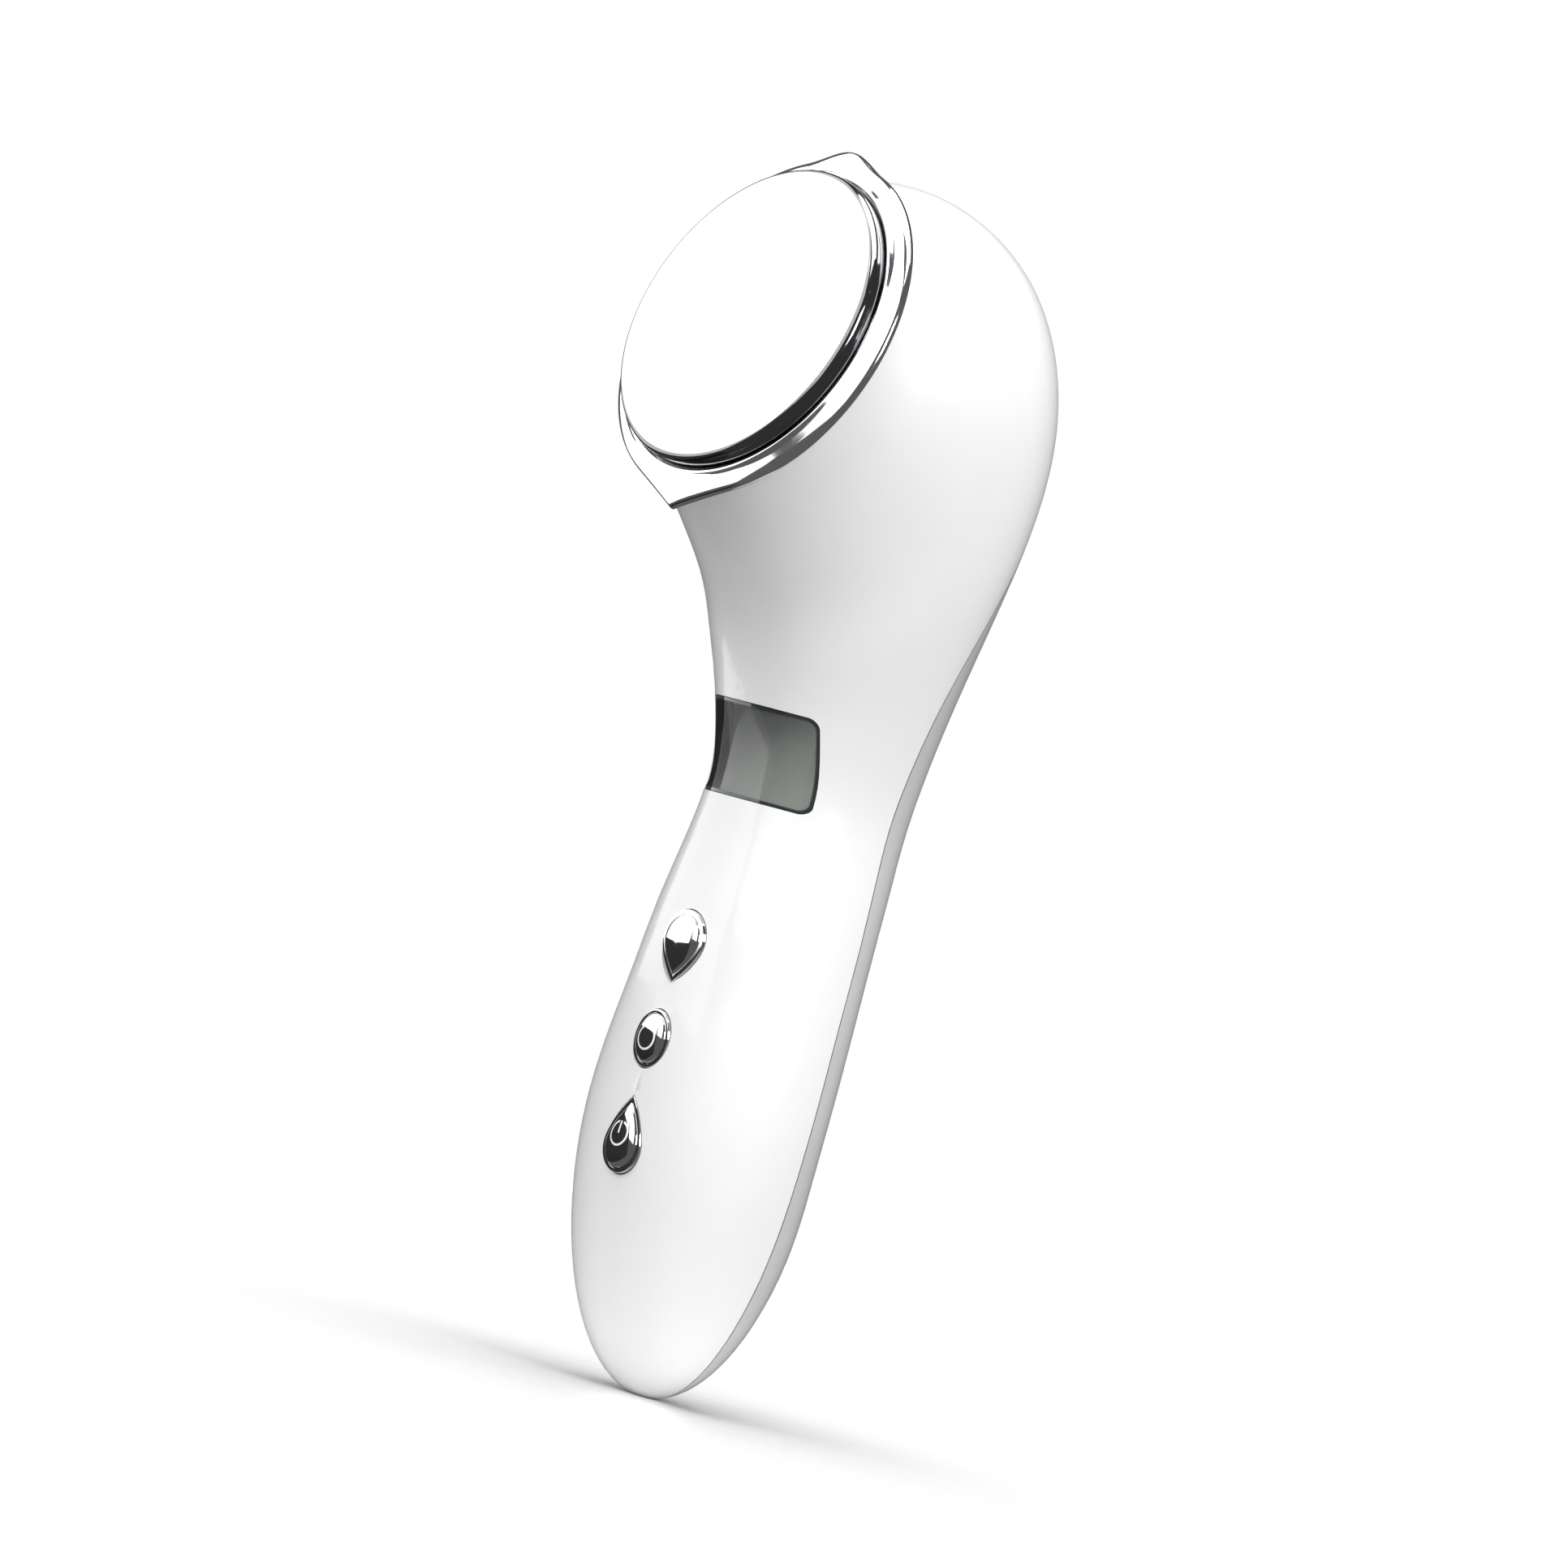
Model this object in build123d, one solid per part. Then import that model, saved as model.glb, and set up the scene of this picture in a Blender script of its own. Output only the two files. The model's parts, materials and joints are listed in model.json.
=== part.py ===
from build123d import *
import os
from math import copysign, cos, pi, radians, sin, sqrt

# Handheld facial massager with a heated, polished round plate, a display and three buttons.
# Heights run up the handle from its rounded tip, +Y is the back and -Y the front.
# Every piece is saved in the grip frame, whose origin is the centre of the grip.

# Driving dimensions, in millimetres and degrees
GRIP_HEIGHT = 50.0            # grip centre above the tip
GRIP_BACK = -5.0              # grip centre along Y
WALL = 2.0                    # moulded shell wall
SEAM_GAP = 0.25               # visible line between the two shells
LIP_HEIGHT = 1.4              # tongue of the back cover behind the seam
LIP_CLEARANCE = 0.1

NOSE_HEIGHT = 40.0            # rounded end of the handle
NOSE_CENTRE = -3.3            # where the tip lies along Y
GRIP_FRONT = -19.7            # front skin at the top of the nose
GRIP_REAR = 9.2               # back skin at the top of the nose
GRIP_HALF_WIDTH = 20.4
NECK_HALF_WIDTH = 15.3
HANDLE_POWER = 2.3            # squareness of the handle's sections, 2 is an ellipse
THROAT_FORWARD = 52.0         # pivot of the curved throat, in front of the handle axis
THROAT_HEIGHT = 92.0
NECK_NEAR = 35.6              # front skin of the neck, from the throat's pivot
NECK_FAR = 64.6               # back skin of the neck

HEAD_TILT = 16.0              # the plate looks up by this much
HEAD_DISTANCE = 69.0          # throat pivot to the centre of the head's mouth
RIM_RADIUS = 26.0             # outside of the shell's round mouth
DOME_RADIUS = RIM_RADIUS + 2.0

# Level sections of the handle: height, front, back, width as a share of the way from neck to grip
HANDLE_SECTIONS = (
    (50.0, -19.5, 9.5, 0.96),
    (61.0, -18.7, 10.1, 0.765),
    (74.0, -17.9, 11.0, 0.47),
    (84.0, -16.9, 12.0, 0.157),
)
# Sections that fan about the throat's pivot: angle, then front, back and width as shares of the
# way from the neck to the rim (front and back) or to the dome (width), then squareness
HEAD_SECTIONS = (
    (0.0, 0.0, 0.0, 0.0, 2.3),
    (10.0, 0.0, 0.06, 0.07, 2.3),
    (20.0, 0.014, 0.214, 0.236, 2.25),
    (32.0, 0.14, 0.543, 0.543, 2.2),
    (45.0, 0.324, 1.066, 0.843, 2.1),
    (57.0, 0.52, 1.29, 1.0, 2.05),
    (66.0, 0.77, 1.22, 0.96, 2.0),
    (90.0 - HEAD_TILT, 1.0, 1.0, (RIM_RADIUS - NECK_HALF_WIDTH) / (DOME_RADIUS - NECK_HALF_WIDTH), 2.0),
)
# Parting line between the shells, from the tip to the top of the head: back, height
SEAM_POINTS = (
    (-2.4, -20), (-2.2, 20), (-0.9, 58), (2.0, 88),
    (3.6, 110), (8.4, 132), (21.0, 156), (34.0, 166),
)

RING_RADIUS = RIM_RADIUS + 2.1    # chrome ring
RING_TOP_POINT = RING_RADIUS + 1.5    # small peak at the top of the ring
RING_LOW_POINT = RING_RADIUS + 2.7    # corner at the bottom of the ring
RING_EDGE = 0.9               # thickness of the ring's flange
RING_FACE_HEIGHT = 2.8        # inner edge of the ring above the shell's mouth
SLEEVE_WALL = 1.0
SLEEVE_DEPTH = 4.0
LEDGE_HEIGHT = 1.4
FIT = 0.2                     # clearance between parts that drop in

PLATE_RADIUS = RIM_RADIUS - 1.4
PLATE_HEIGHT = 5.4            # polished face above the shell's mouth
PLATE_THICKNESS = 1.0
PLATE_EDGE = 1.1              # rounded edge of the face
SEAL_HEIGHT = 0.6
LUG_CIRCLE = RIM_RADIUS - 7.6
LUG_RADIUS = 2.3
HEATER_RADIUS = RIM_RADIUS - 6.0
HEATER_THICKNESS = 0.3
PIEZO_RADIUS = LUG_CIRCLE - LUG_RADIUS - 3.6
PIEZO_THICKNESS = 2.0
THERMISTOR_SIZE = 2.5
THERMISTOR_THICKNESS = 1.5
THERMISTOR_RISE = 6.0         # thermistor above the plate's centre
RETAINER_THICKNESS = 1.8
RETAINER_HOLE = LUG_CIRCLE - 3.4
SCREW_RADIUS = 1.0            # shank of every screw
SCREW_SHANK = 4.0             # length of thread in a boss or lug
SCREW_HEAD_RADIUS = 1.9
SCREW_HEAD_HEIGHT = 1.2
SCREW_SLOT = (2.2, 0.5)       # length and width of the cross recess

WINDOW_WIDTH = 25.0
WINDOW_TALL = 14.0
WINDOW_HEIGHT = 97.5          # centre of the display above the tip
WINDOW_CORNER = 1.3
WINDOW_THICKNESS = 1.5
WINDOW_RECESS = 0.12

BUTTON_GAP = 0.2
BUTTON_PROUD = 1.3
BUTTON_DEPTH = WALL + 2.4
BUTTON_DOME = 1.0
BUTTON_TRAVEL = 0.6
FLANGE_WIDTH = 0.9
FLANGE_THICKNESS = 0.7
FLANGE_CLEARANCE = 1.1
MODE_HEIGHT = 67.0
LEVEL_HEIGHT = 52.6
POWER_HEIGHT = 37.8
MODE_SIZE = (9.3, 11.1)
LEVEL_SIZE = (7.7, 8.9)
POWER_SIZE = (8.4, 11.7)

BOARD_FRONT = -8.0
BOARD_THICKNESS = 1.2
BOARD_WIDTH = 22.0
BOARD_LOW = 29.0
BOARD_TALL = 77.0
BOSS_RADIUS = 2.2
BOSS_SPACING = 17.0
BOSS_HEIGHTS = (33.0, 84.5)
SWITCH_SIZE = 6.0
SWITCH_HEIGHT = 3.4
STEM_RADIUS = 1.7
STEM_CLEARANCE = 0.05
STEM_POCKET = 1.2
LCD_WIDTH = WINDOW_WIDTH - 6.0
LCD_TALL = WINDOW_TALL - 1.0
LCD_THICKNESS = 1.4
BACKLIGHT_THICKNESS = 1.8
CONNECTOR_TALL = 1.6
CHIP_SIZE = 7.0
CHIP_THICKNESS = 1.1
CHIP_LOW = 76.5
TRANSFORMER_SIZE = (12.0, 6.5, 9.0)   # width, thickness and height
TRANSFORMER_LOW = 85.5
BUZZER_RADIUS = 4.5
BUZZER_THICKNESS = 4.0
BUZZER_PLACE = (-5.5, 99.8)   # across and up

BATTERY_WIDTH = 24.0
BATTERY_THICKNESS = 7.4
BATTERY_TALL = 46.0
BATTERY_LOW = 27.0
BATTERY_FRONT = -4.4
BATTERY_EDGE = 2.0
PAD_WIDTH = 18.0
PAD_TALL = 36.0

MOTOR_RADIUS = 5.0
MOTOR_LENGTH = 18.0
MOTOR_LOW = 108.0
MOTOR_BACK = 1.0              # motor axis along Y
MOTOR_NOSE = (2.0, 1.0)       # radius and height of the bearing boss
HOLDER_WIDTH = 2 * MOTOR_RADIUS + 3.5
HOLDER_TALL = 11.0
SHAFT_RADIUS = 0.75
SHAFT_CLEARANCE = 0.05
SHAFT_SEAT = 2.6              # length of shaft inside the can
SHAFT_LENGTH = 10.5
WEIGHT_RADIUS = MOTOR_RADIUS
WEIGHT_HUB = SHAFT_RADIUS + 1.2
WEIGHT_LENGTH = 5.0
WEIGHT_GAP = 2.2              # weight above the can

PORT_ANGLE = 30.0             # charging port looks down and back
PORT_Y = 4.2                  # where the port's axis leaves the skin
PORT_HEIGHT = 6.0
PORT_RADIUS = 4.0
PORT_DEPTH = 3.4
PORT_COLLAR = 1.2
JACK_SIZE = 6.4
JACK_LENGTH = 8.5
JACK_HOLE_RADIUS = 1.9
JACK_PIN_RADIUS = 0.6

LEAD_RADIUS = 0.6
LEAD_BEND = 1.5
HEAD_LEAD_BEND = 5.0
HEAD_LEAD_SPACING = 8.0
BATTERY_LEAD_SPACING = 12.0
MOTOR_LEAD_SPACING = 4.0

HALF_SPANS = 8                # curve spans round half a section


def throat_plane(angle, distance):
    """Plane of a section that has turned by angle about the throat's pivot."""
    turn = radians(angle)
    origin = (0, distance * cos(turn) - THROAT_FORWARD, THROAT_HEIGHT + distance * sin(turn))
    return Plane(origin=origin, x_dir=(1, 0, 0), z_dir=(0, -sin(turn), cos(turn)))


def level_plane(centre, height):
    """Horizontal section plane of the handle."""
    return Plane(origin=(0, centre, height), x_dir=(1, 0, 0), z_dir=(0, 0, 1))


RING_PLANE = throat_plane(90.0 - HEAD_TILT, HEAD_DISTANCE)


def half_outline(plane, half_width, half_depth, power):
    """Right side of a superellipse (an ellipse at power 2), closed one span past the middle plane."""
    points = []
    for step in range(-1, HALF_SPANS + 2):
        turn = pi * step / HALF_SPANS - pi / 2
        across = half_width * copysign(abs(cos(turn)) ** (2 / power), cos(turn))
        deep = half_depth * copysign(abs(sin(turn)) ** (2 / power), sin(turn))
        points.append(plane.from_local_coords((across, deep, 0)))
    return Wire([Edge.make_spline(points), Edge.make_line(points[-1], points[0])])


def nose_sections(inset):
    """Rounded tip: an ellipsoid whose widest section is at NOSE_HEIGHT."""
    centre = (GRIP_FRONT + GRIP_REAR) / 2
    half_depth = (GRIP_REAR - GRIP_FRONT) / 2
    sections = []
    for angle in (7, 15, 24, 36, 52, 70, 90):
        rise = cos(radians(angle))
        spread = sin(radians(angle))
        middle = centre + (NOSE_CENTRE - centre) * rise
        plane = level_plane(middle, NOSE_HEIGHT - (NOSE_HEIGHT - inset) * rise)
        wide = (GRIP_HALF_WIDTH - inset) * spread
        deep = (half_depth - inset) * spread
        sections.append(half_outline(plane, wide, deep, HANDLE_POWER))
    return sections


def between(start, end, share):
    """Value that lies a share of the way from start to end."""
    return start + (end - start) * share


def handle_sections(inset):
    """Level sections from the grip up to the slim neck."""
    sections = []
    for height, front, back, width_share in HANDLE_SECTIONS:
        plane = level_plane((front + back) / 2, height)
        half_width = between(NECK_HALF_WIDTH, GRIP_HALF_WIDTH, width_share) - inset
        sections.append(half_outline(plane, half_width, (back - front) / 2 - inset, HANDLE_POWER))
    return sections


def head_sections(inset):
    """Sections from the neck round the curved throat to the shell's mouth."""
    sections = []
    for angle, near_share, far_share, width_share, power in HEAD_SECTIONS:
        near = between(NECK_NEAR, HEAD_DISTANCE - RIM_RADIUS, near_share)
        far = between(NECK_FAR, HEAD_DISTANCE + RIM_RADIUS, far_share)
        half_width = between(NECK_HALF_WIDTH, DOME_RADIUS, width_share) - inset
        plane = throat_plane(angle, (near + far) / 2)
        sections.append(half_outline(plane, half_width, (far - near) / 2 - inset, power))
    return sections


def half_form(inset):
    """Right half of the handle and head as one smooth solid, shrunk by inset."""
    return Solid.make_loft(nose_sections(inset) + handle_sections(inset) + head_sections(inset))


def whole(half):
    """Both halves of a symmetric piece, from a half that runs past the middle plane."""
    right_side = Box(200, 400, 400, align=(Align.MIN, Align.CENTER, Align.CENTER))
    right = half & Pos(0, 0, THROAT_HEIGHT) * right_side
    return right + mirror(right, about=Plane.YZ)


HALF_SKIN = half_form(0)
HALF_CAVITY = half_form(WALL)


def seam_side(shift):
    """Everything behind the parting surface, which is moved back by shift."""
    seam = Spline(*[(back + shift, height) for back, height in SEAM_POINTS])
    start, end = seam @ 0, seam @ 1
    far_side = Polyline((start.X, start.Y), (60, start.Y), (60, end.Y), (end.X, end.Y))
    return extrude(Plane.YZ * make_face(seam + far_side), 60, both=True)


def along_front(height, depth):
    """Plane that looks forward at a height, with local y up and local z outward."""
    return Plane(origin=(0, depth, height), x_dir=(1, 0, 0), z_dir=(0, -1, 0))


def front_skin(height):
    """Y of the front skin at a height."""
    probe = Pos(0, -50, height) * Box(0.1, 100, 0.1)
    return (HALF_SKIN & probe).bounding_box().min.Y


def teardrop(width, tall):
    """Drop outline: a round end and two tangent arcs that meet in a point."""
    radius = width / 2
    turn = radians(20)
    middle = radius - tall / 2
    side = (radius * cos(turn), middle + radius * sin(turn))
    tip = (0, tall / 2)
    right = TangentArc([side, tip], tangent=(-sin(turn), cos(turn)))
    left = mirror(right, about=Plane.YZ)
    low = ThreePointArc((-side[0], side[1]), (0, middle - radius), side)
    return make_face(right + left + low)


def grown(face, grow):
    """Face with its outline moved out by grow."""
    return offset(face, grow) if grow else face


def mode_outline(grow):
    """Drop that points down."""
    return Rot(0, 0, 180) * grown(teardrop(*MODE_SIZE), grow)


def level_outline(grow):
    """Upright oval."""
    return Ellipse(LEVEL_SIZE[0] / 2 + grow, LEVEL_SIZE[1] / 2 + grow)


def power_outline(grow):
    """Drop that points up."""
    return grown(teardrop(*POWER_SIZE), grow)


BUTTONS = {
    "mode": (MODE_HEIGHT, mode_outline),
    "level": (LEVEL_HEIGHT, level_outline),
    "power": (POWER_HEIGHT, power_outline),
}


def button_cap(height, outline):
    """Domed cap with a flange inside the shell that keeps it from falling out."""
    cap = extrude(outline(0), BUTTON_DEPTH + BUTTON_PROUD)
    cap = fillet(cap.faces().sort_by(Axis.Z)[-1].edges(), BUTTON_DOME)
    cap = Pos(0, 0, -BUTTON_DEPTH) * cap
    flange = extrude(outline(FLANGE_WIDTH), FLANGE_THICKNESS)
    flange_top = -WALL - FLANGE_CLEARANCE
    cap += Pos(0, 0, flange_top - FLANGE_THICKNESS) * flange
    return along_front(height, front_skin(height)) * cap


def button_hole(height, outline):
    """Opening in the front shell for a cap."""
    hole = extrude(outline(BUTTON_GAP), WALL + BUTTON_PROUD + FLANGE_CLEARANCE, both=True)
    return along_front(height, front_skin(height)) * hole


def switch_stem(height):
    """Push pin between the cap and its switch."""
    top = BOARD_FRONT - SWITCH_HEIGHT
    end = top + STEM_POCKET - BUTTON_TRAVEL - 0.1
    start = front_skin(height) + BUTTON_DEPTH
    pin = Cylinder(STEM_RADIUS, end - start, align=(Align.CENTER, Align.CENTER, Align.MAX))
    return along_front(height, start) * pin


def button_switches():
    """Three square switches on the board, each with a pocket for its stem."""
    switches = []
    for height, _ in BUTTONS.values():
        block = Box(SWITCH_SIZE, SWITCH_SIZE, SWITCH_HEIGHT, align=(Align.CENTER, Align.CENTER, Align.MIN))
        pocket = Pos(0, 0, SWITCH_HEIGHT) * Cylinder(
            STEM_RADIUS + STEM_CLEARANCE, STEM_POCKET, align=(Align.CENTER, Align.CENTER, Align.MAX))
        switches.append(along_front(height, BOARD_FRONT) * (block - pocket))
    return Compound(switches)


def window_prism(grow):
    """Rounded rectangle of the display, from the board's front out through the skin."""
    outline = RectangleRounded(WINDOW_WIDTH + 2 * grow, WINDOW_TALL + 2 * grow, WINDOW_CORNER + grow)
    return along_front(WINDOW_HEIGHT, BOARD_FRONT) * extrude(outline, 30)


def display_window():
    """Smoked window that follows the curve of the front."""
    outer = half_form(WINDOW_RECESS) & window_prism(0)
    return whole(outer - half_form(WINDOW_RECESS + WINDOW_THICKNESS))


def boss_places():
    """Axes of the four board bosses."""
    return [(side * BOSS_SPACING / 2, height) for height in BOSS_HEIGHTS for side in (-1, 1)]


def board_bosses():
    """Right-hand posts from the front skin back to the board, and their pilot holes."""
    posts = []
    holes = []
    for x, z in boss_places():
        if x < 0:
            continue
        post = Cylinder(BOSS_RADIUS, 30, align=(Align.CENTER, Align.CENTER, Align.MIN))
        posts.append(Pos(x, 0, z) * (along_front(0, BOARD_FRONT) * post))
        holes.append(Pos(x, 0, z) * (along_front(0, BOARD_FRONT) * Cylinder(SCREW_RADIUS, 2 * SCREW_SHANK)))
    return posts, holes


PORT_AXIS = Vector(0, cos(radians(PORT_ANGLE)), -sin(radians(PORT_ANGLE)))
PORT_PLANE = Plane(origin=(0, PORT_Y, PORT_HEIGHT), x_dir=(1, 0, 0), z_dir=PORT_AXIS)


def port_collar():
    """Moulded cup of the charging port, behind the skin."""
    cup = Cylinder(PORT_RADIUS + PORT_COLLAR, PORT_DEPTH + PORT_COLLAR + 2)
    floor = -PORT_DEPTH - PORT_COLLAR
    return PORT_PLANE * (Pos(0, 0, floor + (PORT_DEPTH + PORT_COLLAR + 2) / 2) * cup)


def port_recess():
    """Round recess for the plug's collar, with a smaller hole for its barrel."""
    recess = Cylinder(PORT_RADIUS, 12, align=(Align.CENTER, Align.CENTER, Align.MIN))
    barrel = Cylinder(JACK_HOLE_RADIUS + FIT, 12, align=(Align.CENTER, Align.CENTER, Align.MAX))
    return PORT_PLANE * (Pos(0, 0, -PORT_DEPTH) * recess) + PORT_PLANE * barrel


def charge_socket():
    """Barrel jack behind the floor of the recess."""
    body = Box(JACK_SIZE, JACK_SIZE, JACK_LENGTH, align=(Align.CENTER, Align.CENTER, Align.MAX))
    hole = Cylinder(JACK_HOLE_RADIUS, JACK_LENGTH - 1.5, align=(Align.CENTER, Align.CENTER, Align.MAX))
    pin = Cylinder(JACK_PIN_RADIUS, JACK_LENGTH - 0.5, align=(Align.CENTER, Align.CENTER, Align.MAX))
    floor = -PORT_DEPTH - PORT_COLLAR
    return PORT_PLANE * (Pos(0, 0, floor) * (body - hole + Pos(0, 0, -0.5) * pin))


def shells():
    """Front shell with the head, and the back cover with its tongue."""
    wall = HALF_SKIN - HALF_CAVITY
    middle = half_form(WALL / 2)
    tongue_outer = half_form(WALL / 2 + LIP_CLEARANCE)
    front = wall - seam_side(0) - (seam_side(-LIP_HEIGHT) & middle)
    posts, pilot_holes = board_bosses()
    for post, hole in zip(posts, pilot_holes):
        front = front + (post & middle) - hole
    front -= window_prism(FIT / 2)
    for height, outline in BUTTONS.values():
        front -= button_hole(height, outline)
    tongue = (tongue_outer - HALF_CAVITY) & seam_side(-LIP_HEIGHT + LIP_CLEARANCE)
    tongue -= seam_side(SEAM_GAP + 1)
    back = (wall & seam_side(SEAM_GAP)) + tongue + (port_collar() & middle & seam_side(SEAM_GAP))
    back -= port_recess()
    return whole(front), whole(back)


def pointed_disc(radius, top, low, thickness):
    """Round flange drawn out to a soft point above and below."""
    disc = Circle(radius)
    for reach, side in ((top, 1), (low, -1)):
        turn = sqrt(1 - (radius / reach) ** 2)
        touch_x = radius * turn
        touch_y = side * radius * radius / reach
        corners = [(0, 0), (touch_x, touch_y), (0, side * reach), (-touch_x, touch_y), (0, 0)]
        disc += make_face(Polyline(*corners))
    return extrude(disc, thickness)


def turned(points):
    """Solid of revolution about local Z from radius and height pairs."""
    return revolve(Plane.XZ * make_face(Polyline(*points, points[0])), Axis.Z)


def head_ring():
    """Chrome ring: pointed flange, sloped face, ledge for the plate and a sleeve into the shell."""
    sleeve_outer = RIM_RADIUS - WALL - FIT / 2
    sleeve_inner = sleeve_outer - SLEEVE_WALL
    bore = PLATE_RADIUS + FIT + 0.1
    ring = turned([(sleeve_inner, -SLEEVE_DEPTH), (sleeve_outer, -SLEEVE_DEPTH), (sleeve_outer, 0),
                   (RING_RADIUS - 0.6, 0), (RING_RADIUS - 0.6, RING_EDGE), (bore + 0.5, RING_FACE_HEIGHT),
                   (bore, RING_FACE_HEIGHT), (bore, LEDGE_HEIGHT), (sleeve_inner, LEDGE_HEIGHT)])
    flange = pointed_disc(RING_RADIUS, RING_TOP_POINT, RING_LOW_POINT, RING_EDGE)
    flange -= Cylinder(bore + 0.5, 4 * RING_EDGE)
    return RING_PLANE * (ring + flange)


def treatment_plate():
    """Polished steel cup with a rounded edge and three lugs for the retainer's screws."""
    neck = RIM_RADIUS - WALL - FIT / 2 - SLEEVE_WALL - FIT
    skirt = LEDGE_HEIGHT + SEAL_HEIGHT
    low = -SLEEVE_DEPTH + FIT
    inner = neck - PLATE_THICKNESS
    cup = turned([(0, PLATE_HEIGHT), (PLATE_RADIUS, PLATE_HEIGHT), (PLATE_RADIUS, skirt), (neck, skirt),
                  (neck, low), (inner, low), (inner, PLATE_HEIGHT - PLATE_THICKNESS),
                  (0, PLATE_HEIGHT - PLATE_THICKNESS)])
    cup = fillet(cup.edges().filter_by(GeomType.CIRCLE).group_by(Axis.Z)[-1], PLATE_EDGE)
    for place in PolarLocations(LUG_CIRCLE, 3, 90):
        lug = Pos(0, 0, low) * Cylinder(
            LUG_RADIUS, PLATE_HEIGHT - PLATE_THICKNESS - low, align=(Align.CENTER, Align.CENTER, Align.MIN))
        hole = Pos(0, 0, low) * Cylinder(SCREW_RADIUS, 10)
        cup = cup + place * lug - place * hole
    return RING_PLANE * cup


def plate_seal():
    """Flat gasket between the plate and the ring's ledge."""
    inner = RIM_RADIUS - WALL - FIT / 2 - SLEEVE_WALL + 0.1
    ring = Cylinder(PLATE_RADIUS + FIT, SEAL_HEIGHT) - Cylinder(inner, SEAL_HEIGHT)
    return RING_PLANE * (Pos(0, 0, LEDGE_HEIGHT + SEAL_HEIGHT / 2) * ring)


def lug_cuts(height, radius):
    """Clearance cuts round the three lugs."""
    return [place * Cylinder(radius, height) for place in PolarLocations(LUG_CIRCLE, 3, 90)]


def heater_film():
    """Thin heater bonded to the back of the plate."""
    top = PLATE_HEIGHT - PLATE_THICKNESS
    film = Cylinder(HEATER_RADIUS, HEATER_THICKNESS) - lug_cuts(4, LUG_RADIUS + FIT)
    return RING_PLANE * (Pos(0, 0, top - HEATER_THICKNESS / 2) * film)


def piezo_disc():
    """Ceramic disc that shakes the plate at high frequency."""
    top = PLATE_HEIGHT - PLATE_THICKNESS - HEATER_THICKNESS
    return RING_PLANE * (Pos(0, 0, top - PIEZO_THICKNESS / 2) * Cylinder(PIEZO_RADIUS, PIEZO_THICKNESS))


def thermistor():
    """Temperature bead beside the piezo disc."""
    top = PLATE_HEIGHT - PLATE_THICKNESS - HEATER_THICKNESS
    bead = Box(THERMISTOR_SIZE, THERMISTOR_SIZE, THERMISTOR_THICKNESS)
    return RING_PLANE * (Pos(PIEZO_RADIUS + 2.2, THERMISTOR_RISE, top - THERMISTOR_THICKNESS / 2) * bead)


def plate_retainer():
    """Plastic ring behind the sleeve that pulls the plate onto its seal."""
    outer = RIM_RADIUS - WALL - FIT
    ring = Cylinder(outer, RETAINER_THICKNESS) - Cylinder(RETAINER_HOLE, RETAINER_THICKNESS)
    ring -= lug_cuts(RETAINER_THICKNESS, SCREW_RADIUS + 0.1)
    return RING_PLANE * (Pos(0, 0, -SLEEVE_DEPTH - RETAINER_THICKNESS / 2) * ring)


def screw(shank):
    """Pan-head screw, head down from local z 0 and shank up."""
    head = Cylinder(SCREW_HEAD_RADIUS, SCREW_HEAD_HEIGHT, align=(Align.CENTER, Align.CENTER, Align.MAX))
    head = fillet(head.faces().sort_by(Axis.Z)[0].edges(), SCREW_HEAD_HEIGHT / 3)
    length, width = SCREW_SLOT
    slot = Pos(0, 0, -SCREW_HEAD_HEIGHT) * (Box(length, width, 1.0) + Box(width, length, 1.0))
    return head - slot + Cylinder(SCREW_RADIUS, shank, align=(Align.CENTER, Align.CENTER, Align.MIN))


def retainer_screws():
    """Three screws through the retainer into the plate's lugs."""
    low = -SLEEVE_DEPTH - RETAINER_THICKNESS
    screws = [RING_PLANE * (place * (Pos(0, 0, low) * screw(RETAINER_THICKNESS + SCREW_SHANK)))
              for place in PolarLocations(LUG_CIRCLE, 3, 90)]
    return Compound(screws)


def board_screws():
    """Four screws from behind the board into the bosses."""
    behind = BOARD_FRONT + BOARD_THICKNESS
    upright = along_front(0, behind) * screw(BOARD_THICKNESS + SCREW_SHANK)
    screws = [Pos(x, 0, z) * upright for x, z in boss_places()]
    return Compound(screws)


def board_box(width, thickness, tall, centre_x, front, low):
    """Box that stands on its low edge, with its front face at front."""
    box = Box(width, thickness, tall, align=(Align.CENTER, Align.MIN, Align.MIN))
    return Pos(centre_x, front, low) * box


def main_board():
    """Circuit board with clearance holes over the bosses."""
    board = board_box(BOARD_WIDTH, BOARD_THICKNESS, BOARD_TALL, 0, BOARD_FRONT, BOARD_LOW)
    for x, z in boss_places():
        board -= Pos(x, 0, z) * (along_front(0, BOARD_FRONT) * Cylinder(SCREW_RADIUS + 0.1, 4))
    return board


BOARD_BACK = BOARD_FRONT + BOARD_THICKNESS
LCD_BACK = BOARD_FRONT - BACKLIGHT_THICKNESS


def lcd_panel():
    """Liquid-crystal glass in front of its light."""
    low = WINDOW_HEIGHT - LCD_TALL / 2
    return board_box(LCD_WIDTH, LCD_THICKNESS, LCD_TALL, 0, LCD_BACK - LCD_THICKNESS, low)


def lcd_backlight():
    """Light guide between the board and the glass."""
    low = WINDOW_HEIGHT - LCD_TALL / 2 + 2
    return board_box(LCD_WIDTH, BACKLIGHT_THICKNESS, LCD_TALL - 2, 0, LCD_BACK, low)


def lcd_connector():
    """Rubber contact strip under the lower edge of the glass."""
    low = WINDOW_HEIGHT - LCD_TALL / 2 + 0.2
    return board_box(LCD_WIDTH, BACKLIGHT_THICKNESS, CONNECTOR_TALL, 0, LCD_BACK, low)


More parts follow.
